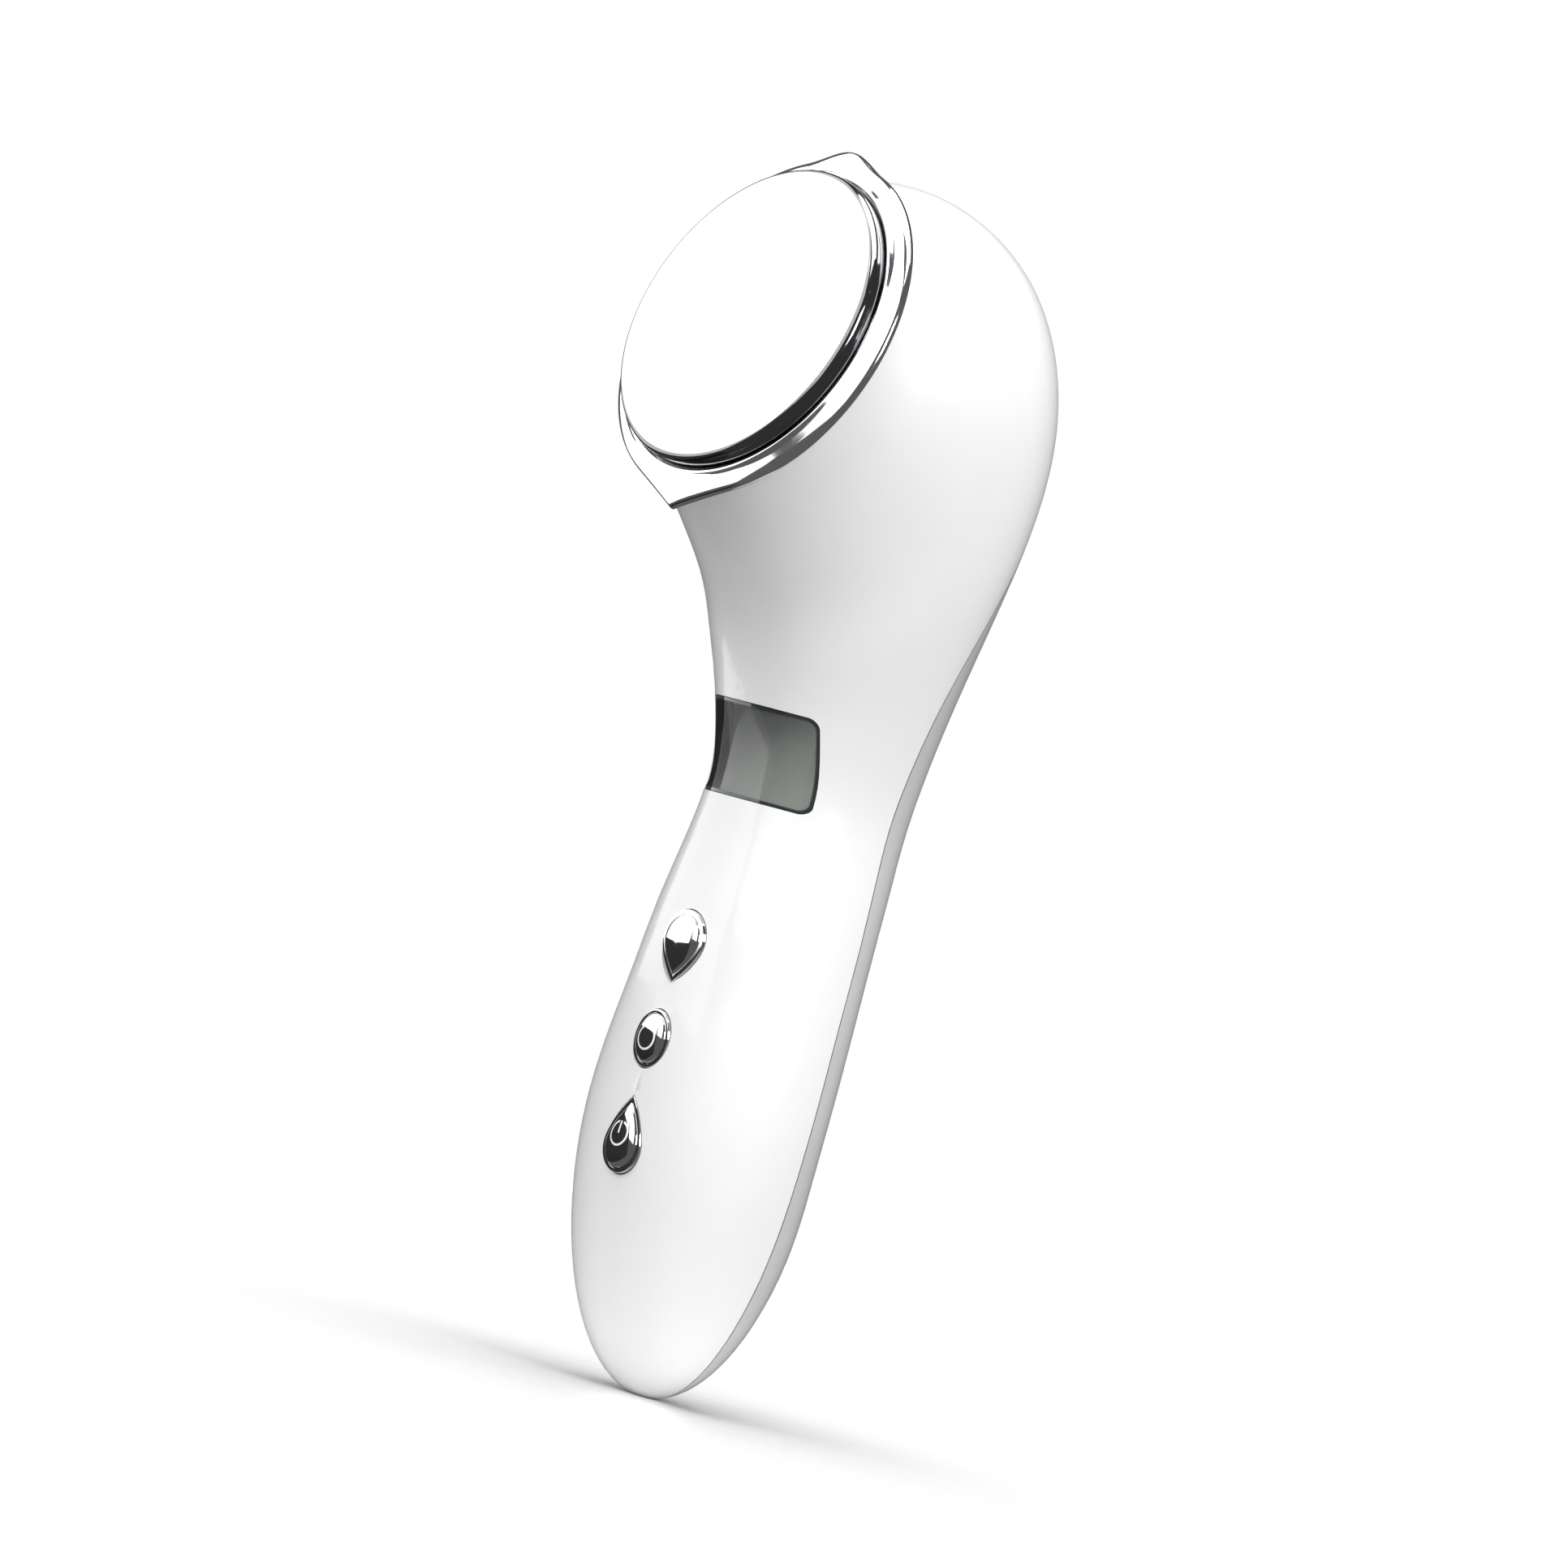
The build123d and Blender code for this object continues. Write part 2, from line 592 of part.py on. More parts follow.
def battery_pack():
    """Flat rechargeable cell with rounded long edges."""
    cell = board_box(BATTERY_WIDTH, BATTERY_THICKNESS, BATTERY_TALL, 0, BATTERY_FRONT, BATTERY_LOW)
    return fillet(cell.edges().filter_by(Axis.Z), BATTERY_EDGE)


def battery_pad():
    """Foam pad from the battery back to the inside of the cover."""
    low = BATTERY_LOW + (BATTERY_TALL - PAD_TALL) / 2
    return whole(HALF_CAVITY & board_box(PAD_WIDTH, 20, PAD_TALL, 0, BATTERY_FRONT + BATTERY_THICKNESS, low))


def on_motor(height):
    """Location on the motor's axis."""
    return Pos(0, MOTOR_BACK, height)


def vibration_motor():
    """Can motor with a bearing hole for its shaft."""
    can = Cylinder(MOTOR_RADIUS, MOTOR_LENGTH, align=(Align.CENTER, Align.CENTER, Align.MIN))
    can = fillet(can.edges().filter_by(GeomType.CIRCLE), 0.6)
    can += Pos(0, 0, MOTOR_LENGTH) * Cylinder(*MOTOR_NOSE, align=(Align.CENTER, Align.CENTER, Align.MIN))
    can -= Pos(0, 0, MOTOR_LENGTH + 1) * Cylinder(SHAFT_RADIUS + SHAFT_CLEARANCE, 8)
    return on_motor(MOTOR_LOW) * can


def motor_holder():
    """Rubber block that ties the motor to the back cover."""
    block = Box(HOLDER_WIDTH, 40, HOLDER_TALL, align=(Align.CENTER, Align.MIN, Align.CENTER))
    block = Pos(0, -HOLDER_WIDTH / 2, 0) * block - Cylinder(MOTOR_RADIUS, HOLDER_TALL)
    return whole(HALF_CAVITY & on_motor(MOTOR_LOW + MOTOR_LENGTH / 2) * block)


def motor_shaft():
    """Shaft that carries the weight."""
    low = MOTOR_LENGTH - SHAFT_SEAT
    shaft = Cylinder(SHAFT_RADIUS, SHAFT_LENGTH, align=(Align.CENTER, Align.CENTER, Align.MIN))
    return on_motor(MOTOR_LOW + low) * shaft


def eccentric_weight():
    """Half disc whose spin shakes the handle."""
    disc = Cylinder(WEIGHT_RADIUS, WEIGHT_LENGTH, arc_size=180, align=(Align.NONE, Align.NONE, Align.MIN))
    disc += Cylinder(WEIGHT_HUB, WEIGHT_LENGTH, align=(Align.CENTER, Align.CENTER, Align.MIN))
    disc -= Cylinder(SHAFT_RADIUS, 4 * WEIGHT_LENGTH)
    return on_motor(MOTOR_LOW + MOTOR_LENGTH + WEIGHT_GAP) * disc


def tube(points, bend):
    """Insulated lead along straight runs joined by arcs."""
    path = FilletPolyline(*points, radius=bend) if len(points) > 2 else Line(*points)
    start = path @ 0
    section = Plane(origin=start, z_dir=path % 0) * Circle(LEAD_RADIUS)
    return sweep(section, path)


def head_leads():
    """Pair of leads from the board to the back of the piezo disc."""
    reach = PLATE_HEIGHT - PLATE_THICKNESS - HEATER_THICKNESS - PIEZO_THICKNESS
    top = BOARD_LOW + BOARD_TALL
    leads = []
    middle = BOARD_FRONT + BOARD_THICKNESS / 2
    for side in (-HEAD_LEAD_SPACING / 2, HEAD_LEAD_SPACING / 2):
        behind = RING_PLANE.from_local_coords((side, -2, -16))
        end = RING_PLANE.from_local_coords((side, -2, reach))
        leads.append(tube([(side, middle, top), (side, middle, top + 22), behind, end], HEAD_LEAD_BEND))
    return Compound(leads)


def battery_leads():
    """Pair of leads from the battery's top to the back of the board."""
    top = BATTERY_LOW + BATTERY_TALL
    middle = BATTERY_FRONT + 2
    leads = []
    for side in (-BATTERY_LEAD_SPACING / 2, BATTERY_LEAD_SPACING / 2):
        corners = [(side, middle, top), (side, middle, top + 5), (side, BOARD_BACK, top + 5)]
        leads.append(tube(corners, LEAD_BEND))
    return Compound(leads)


def motor_leads():
    """Pair of leads from the motor's end down to the back of the board."""
    leads = []
    low = MOTOR_LOW - 2.6
    for side in (-MOTOR_LEAD_SPACING / 2, MOTOR_LEAD_SPACING / 2):
        corners = [(side, MOTOR_BACK, MOTOR_LOW), (side, MOTOR_BACK, low), (side, BOARD_BACK, low)]
        leads.append(tube(corners, LEAD_BEND))
    return Compound(leads)


def controller_chip():
    """Square controller on the back of the board."""
    return board_box(CHIP_SIZE, CHIP_THICKNESS, CHIP_SIZE, 0, BOARD_BACK, CHIP_LOW)


def driver_transformer():
    """Transformer that drives the piezo disc."""
    return board_box(*TRANSFORMER_SIZE, 0, BOARD_BACK, TRANSFORMER_LOW)


def buzzer():
    """Round sounder on the back of the board."""
    across, height = BUZZER_PLACE
    can = Cylinder(BUZZER_RADIUS, BUZZER_THICKNESS, align=(Align.CENTER, Align.CENTER, Align.MAX))
    return Pos(across, 0, height) * (along_front(0, BOARD_BACK) * can)


def save(node, shape):
    """Write one piece, moved into the grip frame."""
    export_step(Pos(0, -GRIP_BACK, -GRIP_HEIGHT) * shape, "parts/" + node + ".step")


os.makedirs("parts", exist_ok=True)
front_shell, back_cover = shells()
save("front_shell", front_shell)
save("back_cover", back_cover)
for name, (button_height, button_outline) in BUTTONS.items():
    save(name + "_button", button_cap(button_height, button_outline))
    save(name + "_switch_stem", switch_stem(button_height))
for make in (head_ring, treatment_plate, plate_seal, heater_film, piezo_disc, thermistor, plate_retainer,
             retainer_screws, display_window, lcd_panel, lcd_backlight, lcd_connector, main_board,
             board_screws, button_switches, controller_chip, driver_transformer, buzzer, battery_pack,
             battery_pad, vibration_motor, motor_holder, motor_shaft, eccentric_weight, charge_socket,
             head_leads, battery_leads, motor_leads):
    save(make.__name__, make())
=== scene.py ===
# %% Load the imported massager
import bpy
import json
import math
from mathutils import Matrix, Vector


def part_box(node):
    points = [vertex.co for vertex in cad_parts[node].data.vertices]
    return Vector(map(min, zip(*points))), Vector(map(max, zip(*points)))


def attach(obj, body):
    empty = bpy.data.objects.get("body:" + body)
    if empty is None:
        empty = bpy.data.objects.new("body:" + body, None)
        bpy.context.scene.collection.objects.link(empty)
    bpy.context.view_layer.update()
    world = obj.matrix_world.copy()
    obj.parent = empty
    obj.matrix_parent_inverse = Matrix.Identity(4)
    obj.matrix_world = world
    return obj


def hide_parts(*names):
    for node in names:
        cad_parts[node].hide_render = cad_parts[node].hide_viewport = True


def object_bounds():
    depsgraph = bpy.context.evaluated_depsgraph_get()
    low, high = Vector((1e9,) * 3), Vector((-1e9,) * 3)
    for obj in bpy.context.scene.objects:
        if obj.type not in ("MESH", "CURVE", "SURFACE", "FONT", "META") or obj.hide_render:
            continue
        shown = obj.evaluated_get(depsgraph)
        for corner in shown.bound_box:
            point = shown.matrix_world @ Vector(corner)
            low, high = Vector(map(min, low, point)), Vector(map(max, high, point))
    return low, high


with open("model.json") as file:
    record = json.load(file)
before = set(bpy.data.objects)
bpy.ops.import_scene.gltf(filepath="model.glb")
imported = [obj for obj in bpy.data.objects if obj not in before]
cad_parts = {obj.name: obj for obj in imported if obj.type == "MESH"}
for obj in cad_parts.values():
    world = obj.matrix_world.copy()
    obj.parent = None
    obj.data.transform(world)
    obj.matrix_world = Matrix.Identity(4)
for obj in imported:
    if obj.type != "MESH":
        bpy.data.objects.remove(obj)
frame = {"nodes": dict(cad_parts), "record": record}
cad_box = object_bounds()
nodes = frame["nodes"]


# %% [markdown]
# The frame gives every place that the pieces need. The polished plate's centre and the way it
# faces come from the record's mount, and the buttons come from their nodes' boxes. A local frame
# on the plate lets the round parts be turned about their own Z axis and then set in place.
# %% Places taken from the frame
def mount_of(name):
    """Position and axis of a mount of the record."""
    found = [m for m in frame["record"]["mounts"] if m["name"] == name][0]
    return Vector(found["pos_m"]), Vector(found["axis"]).normalized()


MM = 0.001
face_centre, face_axis = mount_of("treatment_face")
RIGHT = Vector((1, 0, 0))
face_up = face_axis.cross(RIGHT).normalized()
HEAD = Matrix.Translation(face_centre) @ Matrix((RIGHT, face_up, face_axis)).transposed().to_4x4()
tip = Vector((0, 0, cad_box[0][2]))
print("plate faces", tuple(round(v, 3) for v in face_axis), "tip at", round(tip.z, 4))


# %% [markdown]
# Shader maths reads best as plain arithmetic. Wiring each Math node by hand hides the idea behind
# a dozen lines, so a small class wraps one socket and adds the node for every operator that is used.
# Graph is a node tree with the one method that adds nodes to it. Finish is a material's graph, with
# its Principled shader and the object's own coordinates, in which every pattern is measured in
# metres.
# %% Shader helpers
class Value:
    """A socket that takes part in plain arithmetic."""

    def __init__(self, graph, socket):
        self.graph = graph
        self.socket = socket

    def __add__(self, other):
        return self.graph.maths("ADD", self, other)

    def __sub__(self, other):
        return self.graph.maths("SUBTRACT", self, other)

    def __rsub__(self, other):
        return self.graph.maths("SUBTRACT", other, self)

    def __mul__(self, other):
        return self.graph.maths("MULTIPLY", self, other)

    def __truediv__(self, other):
        return self.graph.maths("DIVIDE", self, other)

    def __gt__(self, other):
        return self.graph.maths("GREATER_THAN", self, other)

    def __lt__(self, other):
        return self.graph.maths("LESS_THAN", self, other)

    def __abs__(self):
        return self.graph.maths("ABSOLUTE", self)

    __radd__ = __add__
    __rmul__ = __mul__


class Sockets:
    """Outputs of one node by name or number."""

    def __init__(self, graph, node):
        self.graph = graph
        self.node = node

    def __getitem__(self, name):
        return Value(self.graph, self.node.outputs[name])


class Graph:
    """A node tree, and the way that nodes are added to it."""

    def __init__(self, tree):
        self.tree = tree

    def feed(self, socket, given):
        """Link a value to a socket, or set a constant on it."""
        if isinstance(given, Value):
            self.tree.links.new(given.socket, socket)
        elif socket.type == "RGBA":
            socket.default_value = (*given, 1.0)
        else:
            socket.default_value = given

    def node(self, kind, settings=None, inputs=None):
        made = self.tree.nodes.new(kind)
        for name, setting in (settings or {}).items():
            setattr(made, name, setting)
        for name, given in (inputs or {}).items():
            self.feed(made.inputs[name], given)
        return Sockets(self, made)

    def maths(self, operation, first, second=0.0):
        return self.node("ShaderNodeMath", {"operation": operation}, {0: first, 1: second})["Value"]

    def vectors(self, operation, first, second):
        return self.node("ShaderNodeVectorMath", {"operation": operation}, {0: first, 1: second})


class Finish(Graph):
    """A material. Its colour and roughness hold until a pattern is linked over them."""

    def __init__(self, name, color, roughness, metallic=0.0):
        self.material = bpy.data.materials.new(name)
        self.material.use_nodes = True
        super().__init__(self.material.node_tree)
        self.shader = self.tree.nodes["Principled BSDF"]
        self.set("Base Color", color)
        self.set("Roughness", roughness)
        self.set("Metallic", metallic)
        self.place = self.node("ShaderNodeTexCoord")["Object"]

    def set(self, name, value):
        self.feed(self.shader.inputs[name], value)

    def axes(self):
        split = self.node("ShaderNodeSeparateXYZ", {}, {0: self.place})
        return split["X"], split["Y"], split["Z"]

    def noise(self, scale, detail=3.0):
        return self.node("ShaderNodeTexNoise", {}, {
            "Vector": self.place, "Scale": scale, "Detail": detail})["Fac"]

    def bands(self, along, scale, detail=2.0):
        """Noise that changes along one value only."""
        return self.node("ShaderNodeTexNoise", {"noise_dimensions": "1D"}, {
            "W": along, "Scale": scale, "Detail": detail})["Fac"]

    def cells(self, scale):
        return self.node("ShaderNodeTexVoronoi", {"feature": "F1"}, {"Vector": self.place, "Scale": scale})

    def blend(self, amount, low, high):
        """Colour between low and high."""
        return self.node("ShaderNodeMix", {"data_type": "RGBA"}, {0: amount, 6: low, 7: high})[2]

    def bump(self, height, strength, distance):
        self.set("Normal", self.node("ShaderNodeBump", {}, {
            "Height": height, "Strength": strength, "Distance": distance})["Normal"])

    def cover(self, *pieces):
        """Give this finish to whole pieces."""
        for piece in pieces:
            piece.data.materials.clear()
            piece.data.materials.append(self.material)


def ramp(value, low, high):
    """Value moved to 0..1 between low and high, and clamped there."""
    made = value.graph.node("ShaderNodeMapRange", {"clamp": True, "interpolation_type": "SMOOTHSTEP"}, {
        "Value": value, "From Min": low, "From Max": high})
    return made["Result"]


def either(first, second):
    """1 where at least one of two masks is 1."""
    return first.graph.maths("MAXIMUM", first, second)


def length_of(across, upward):
    """Length of the vector with these two parts."""
    return across.graph.maths("SQRT", across * across + upward * upward)


def saw(coordinate, pitch):
    """Distance from the middle of the nearest grid cell, 0 to a half, in cells."""
    return abs(coordinate.graph.maths("FRACT", coordinate / pitch) - 0.5)


def plate_radius(finish):
    """Distance from the axis of the plate."""
    moved = finish.vectors("SUBTRACT", finish.place, face_centre)["Vector"]
    return length_of(finish.vectors("DOT_PRODUCT", moved, RIGHT)["Value"],
                     finish.vectors("DOT_PRODUCT", moved, face_up)["Value"])


print("shader helpers ready")


# %% [markdown]
# The body is white ABS out of a polished mould. Real mouldings are never one flat white: the gloss
# swims a little where the wall shrinks, and fine dust and handling dull it in patches. Slow noise
# moves the roughness and the colour by a few hundredths, and a very shallow bump bends the
# highlights. A clear coat gives the sharp top reflection. The back cover is a darker grey: partly a
# greyer plastic and partly painted shade for its side, which faces away from the light.
# %% White mouldings
def white_moulding(name, color, shade):
    finish = Finish(name, color, 0.24)
    slow = finish.noise(45.0)
    fine = finish.noise(900.0, 4.0)
    patchy = finish.blend(ramp(slow, 0.35, 0.7), color, shade)
    finish.set("Base Color", patchy)
    finish.set("Roughness", 0.22 + slow * 0.06 + fine * 0.015)
    finish.set("Coat Weight", 0.5)
    finish.set("Coat Roughness", 0.06)
    finish.bump(finish.noise(30.0, 0.0), 0.05, 0.0002)
    return finish


shell_white = white_moulding("shell_gloss_white", (0.88, 0.88, 0.885), (0.86, 0.86, 0.87))
# painted shade: the back cover's grey is darkened in part to stand for the shade on its side
cover_grey_and_painted_shade = white_moulding("cover_grey_painted_shade", (0.58, 0.58, 0.585), (0.55, 0.55, 0.56))
shell_white.cover(nodes["front_shell"])
cover_grey_and_painted_shade.cover(nodes["back_cover"])
print("white mouldings:", shell_white.material.name, cover_grey_and_painted_shade.material.name)


# %% [markdown]
# Bright plating and polished steel are both mirrors, but they wear differently. Plating on plastic
# shows faint waviness from the moulding under it, while the steel face has hair-fine turning marks
# in rings round its centre. Each mark is faint, in the roughness, the tint and a shallow bump, because
# a mirror shows the smallest dent. Past its flat face the steel turns down into a rounded edge, whose
# colour is darkened as a painted reflection of the dark groove beside it.
# %% Bright metals
def bright_plating(name, color, roughness):
    finish = Finish(name, color, roughness, 1.0)
    smear = finish.noise(160.0)
    haze_and_painted_reflection = finish.noise(1400.0, 5.0)
    finish.set("Roughness", roughness + ramp(smear, 0.45, 0.8) * 0.07 + haze_and_painted_reflection * 0.02)
    finish.set("Base Color", finish.blend(smear, color, tuple(c * 0.96 for c in color)))
    finish.bump(finish.noise(220.0, 1.0), 0.06, 0.0002)
    return finish


PLATE_FLAT = 23.6 * MM        # the flat face ends here and the painted reflection on its rounded edge begins
PLATE_EDGE_FADE = 0.25 * MM
PLATE_EDGE_PAINTED_REFLECTION = (0.24, 0.24, 0.25)
KEY_TINT = (0.8, 0.805, 0.82)


def turned_steel(name, color):
    finish = Finish(name, color, 0.07, 1.0)
    radius = plate_radius(finish)
    rings = finish.bands(radius, 9000.0)
    wipe = finish.noise(90.0)
    edge = ramp(radius, PLATE_FLAT, PLATE_FLAT + PLATE_EDGE_FADE)
    face = finish.blend(wipe, color, tuple(c * 0.95 for c in color))
    finish.set("Roughness", 0.05 + rings * 0.04 + ramp(wipe, 0.5, 0.8) * 0.05)
    # painted reflection: the rounded edge is darkened to stand for the dark groove that it mirrors
    finish.set("Base Color", finish.blend(edge, face, PLATE_EDGE_PAINTED_REFLECTION))
    finish.bump(rings, 0.03, 0.00005)
    return finish


ring_chrome = bright_plating("ring_chrome", (0.88, 0.885, 0.9), 0.06)
plate_steel = turned_steel("plate_steel", (0.9, 0.9, 0.91))
plate_steel.cover(nodes["treatment_plate"])
print("bright metals:", ring_chrome.material.name, plate_steel.material.name)


# %% [markdown]
# New pieces start from a primitive at the origin and are worked in edit mode. Operators act on all
# that is selected, so everything is deselected first, and vertices are then picked in code by where
# they are. When a piece is done its placing matrix is applied to its mesh, so that the
# object itself sits at the origin like a CAD node.
# %% Modelling helpers
def start_clean():
    if bpy.context.object and bpy.context.object.mode != "OBJECT":
        bpy.ops.object.mode_set(mode="OBJECT")
    bpy.ops.object.select_all(action="DESELECT")


def begin(name):
    """Name the new primitive and open it for editing."""
    piece = bpy.context.object
    piece.name = name
    piece.data.name = name
    bpy.ops.object.mode_set(mode="EDIT")
    return piece


def pick_vertices(piece, wanted):
    """Select the vertices for which wanted(co) is true."""
    bpy.ops.mesh.select_all(action="DESELECT")
    bpy.ops.mesh.select_mode(type="VERT")
    bpy.ops.object.mode_set(mode="OBJECT")
    for vertex in piece.data.vertices:
        vertex.select = wanted(vertex.co)
    bpy.ops.object.mode_set(mode="EDIT")


def pull(offset, reach, falloff):
    """Move what is selected, and its neighbours less and less out to reach."""
    bpy.ops.transform.translate(value=offset, use_proportional_edit=True,
                                proportional_edit_falloff=falloff, proportional_size=reach)


def select_only(piece):
    start_clean()
    piece.select_set(True)
    bpy.context.view_layer.objects.active = piece


def put_in_place(piece, matrix):
    """Apply a placing matrix to the mesh and leave the object at the origin."""
    select_only(piece)
    piece.matrix_world = matrix
    bpy.ops.object.transform_apply(location=True, rotation=True, scale=True)


def smooth(piece, angle):
    """Smooth shading, with edges sharper than angle, in degrees, kept crisp."""
    select_only(piece)
    bpy.ops.object.shade_smooth_by_angle(angle=math.radians(angle))


def add_modifier(piece, kind, **settings):
    """Add a modifier and apply it at once."""
    select_only(piece)
    modifier = piece.modifiers.new(kind.lower(), kind)
    for name, setting in settings.items():
        setattr(modifier, name, setting)
    bpy.ops.object.modifier_apply(modifier=modifier.name)


# %% [markdown]
# The chrome ring could be kept as the turned CAD part, but its edges are knife sharp and its two
# points are straight facets. The real ring is a soft pressing: a broad face that dips in a small
# fillet beside the plate, a rolled outer edge, a low peak at the top and a corner at the bottom.
# So an open circle is extruded and scaled through the section, loop by loop, and its outer loops
# are then pulled out, with a soft falloff for the peak and a sharp one for the corner. The ends of
# the section are bridged last, which closes the ring.
# %% Chrome ring
RING_SECTION = (
    # radius and height below the plate's face, in mm, from the sleeve's inside to its outside
    (22.95, -9.2), (22.95, -4.05), (24.85, -4.05), (24.88, -2.75), (25.0, -2.62), (25.25, -2.6),
    (25.5, -2.72), (25.8, -3.02), (26.2, -3.22), (27.0, -3.5), (27.7, -3.84), (28.0, -4.1),
    (28.12, -4.45), (28.1, -4.9), (27.9, -5.2), (27.5, -5.36), (26.05, -5.38), (23.85, -5.38), (23.85, -9.2),
)
RING_STEPS = 192
RING_FIXED = 26.0 * MM        # nothing inside this radius moves with the two points
RING_RIM = 27.4 * MM          # the loops outside this radius are pulled
RING_MIDDLE = 0.5 * MM        # half width of the stretch that is pulled
RING_CRISP = 50               # degrees
RING_POINTS = (               # outward, up and reach in mm, and how the pull fades
    (1.6, 0.2, 8.5, "SMOOTH"),
    (-2.5, -0.3, 11.0, "SHARP"),
)


def chrome_ring():
    start_clean()
    first_radius, first_height = RING_SECTION[0]
    bpy.ops.mesh.primitive_circle_add(vertices=RING_STEPS, radius=first_radius * MM)
    ring = begin("chrome_ring")
    bpy.ops.mesh.select_all(action="SELECT")
    bpy.ops.transform.translate(value=(0, 0, first_height * MM))
    now_radius, now_height = first_radius, first_height
    for radius, height in RING_SECTION[1:]:
        bpy.ops.mesh.extrude_edges_move(TRANSFORM_OT_translate={"value": (0, 0, (height - now_height) * MM)})
        bpy.ops.transform.resize(value=(radius / now_radius, radius / now_radius, 1),
                                 center_override=(0, 0, height * MM))
        now_radius, now_height = radius, height
    pick_vertices(ring, lambda co: co.xy.length < RING_FIXED)
    bpy.ops.mesh.hide(unselected=False)
    for point, height, reach, fade in RING_POINTS:
        pick_vertices(ring, lambda co: (
            co.xy.length > RING_RIM and co.y * point > 0 and abs(co.x) < RING_MIDDLE))
        pull((0, point * MM, height * MM), reach * MM, fade)
    bpy.ops.mesh.reveal()
    bpy.ops.mesh.select_all(action="DESELECT")
    bpy.ops.mesh.select_non_manifold()
    bpy.ops.mesh.bridge_edge_loops()
    bpy.ops.mesh.select_all(action="SELECT")
    bpy.ops.mesh.normals_make_consistent(inside=False)
    bpy.ops.object.mode_set(mode="OBJECT")
    put_in_place(ring, HEAD)
    smooth(ring, RING_CRISP)
    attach(ring, "handset")
    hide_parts("head_ring")
    ring_chrome.cover(ring)
    print("chrome ring:", len(ring.data.vertices), "vertices")


chrome_ring()


# %% [markdown]
# Two keys carry a fine etched mark: a plain ring, and a ring cut by an upright stroke. The mark is
# only in the plating's colour, metal and roughness, measured from the middle of the key.
# %% Marks on the keys
MARKS = {"mode_cap": None, "level_cap": "ring", "power_cap": "power"}
MARK_RADIUS = 1.8 * MM
MARK_LINE = 0.16 * MM         # half width of a line
MARK_GAP = 0.5 * MM           # half width of the gap round the stroke
MARK_STROKE = 1.9 * MM
MARK_TINT = (0.9, 0.9, 0.9)


def marked_chrome(name, centre, mark):
    """Plating for a key, with its mark."""
    finish = bright_plating(name + "_chrome", KEY_TINT, 0.05)
    if not mark:
        return finish
    x, _, z = finish.axes()
    across, upward = x - centre.x, z - centre.z
    drawn = abs(length_of(across, upward) - MARK_RADIUS) < MARK_LINE
    if mark == "power":
        gap = (abs(across) < MARK_GAP) * (upward > 0.0)
        stroke = (abs(across) < MARK_LINE) * (upward > 0.0) * (upward < MARK_STROKE)
        drawn = either(drawn * (1 - gap), stroke)
    finish.set("Base Color", finish.blend(drawn, KEY_TINT, MARK_TINT))
    finish.set("Metallic", 1 - drawn * 0.8)
    finish.set("Roughness", 0.06 + drawn * 0.5)
    return finish


print("marks:", MARKS)


# %% [markdown]
# Each key is a plated cap with a thin stepped rim and a full dome, so it gathers the whole room in
# a bright crescent. A filled circle is stretched to the key's outline, pulled to a point for the two
# drops, extruded for its side, and then extruded and scaled down in steps that climb to the crown.
# Each step is a smaller copy of the outline, so a drop stays a drop all the way up.
# %% Chrome keys
KEY_FLANGE = 0.9 * MM
KEY_STEPS = 48                # points up each side of an outline
KEY_DOME = 1.25 * MM
KEY_BACK = 1.0 * MM           # the CAD flange behind the cap
KEY_RIM = ((0.985, 0.1), (0.97, 0.03), (0.93, 0.0), (0.985, -0.12), (0.97, 0.0))    # scale, rise in mm
DOME_STEPS = 12
DOME_STEP_TURN = math.radians(7.2)
DOME_FULLNESS = 0.98
DROP_MIDDLE = 0.6             # how far the dome's middle moves towards the drop's round end
DROP_TAPER = 1.7
EGG_TAPER = 0.05
KEY_CRISP = 40                # degrees
FACING = Matrix((RIGHT, Vector((0, 0, 1)), Vector((0, -1, 0)))).transposed().to_4x4()


def key_shape(node):
    """Centre, half width and half height of a key without its flange, and its outer and inner face."""
    low, high = (Vector(corner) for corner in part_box(node))
    centre = (low + high) / 2
    return centre, (high.x - low.x) / 2 - KEY_FLANGE, (high.z - low.z) / 2 - KEY_FLANGE, low.y, high.y


def drop_width(along, half_width, half_tall, point):
    """Half width of a drop at a height: a round end, then sides that close to a point."""
    along = along * point
    round_centre = half_width - half_tall
    if along < round_centre:
        return math.sqrt(max(half_width ** 2 - (along - round_centre) ** 2, 0))
    reach = (along - round_centre) / (half_tall - round_centre)
    return half_width * (1 - reach ** DROP_TAPER)


def key_outline(half_width, half_tall, point):
    """A filled outline in the local XY plane; point is 1 up, -1 down, 0 an egg."""
    start_clean()
    bpy.ops.mesh.primitive_circle_add(vertices=2 * KEY_STEPS, radius=1, fill_type="NGON")
    piece = bpy.context.object
    for vertex in piece.data.vertices:
        side, along = vertex.co.x, vertex.co.y * half_tall
        if point:
            across = math.copysign(drop_width(along, half_width, half_tall, point), side)
            vertex.co.x = 0 if abs(side) < 0.001 else across
        else:
            vertex.co.x = side * half_width * (1 - EGG_TAPER * vertex.co.y)
        vertex.co.y = along
    return piece


def climb(scale, rise, pivot):
    """Extrude the selected face up by rise and scale it about pivot."""
    bpy.ops.mesh.extrude_region_move(TRANSFORM_OT_translate={"value": (0, 0, rise)})
    bpy.ops.transform.resize(value=(scale, scale, 1), center_override=pivot)


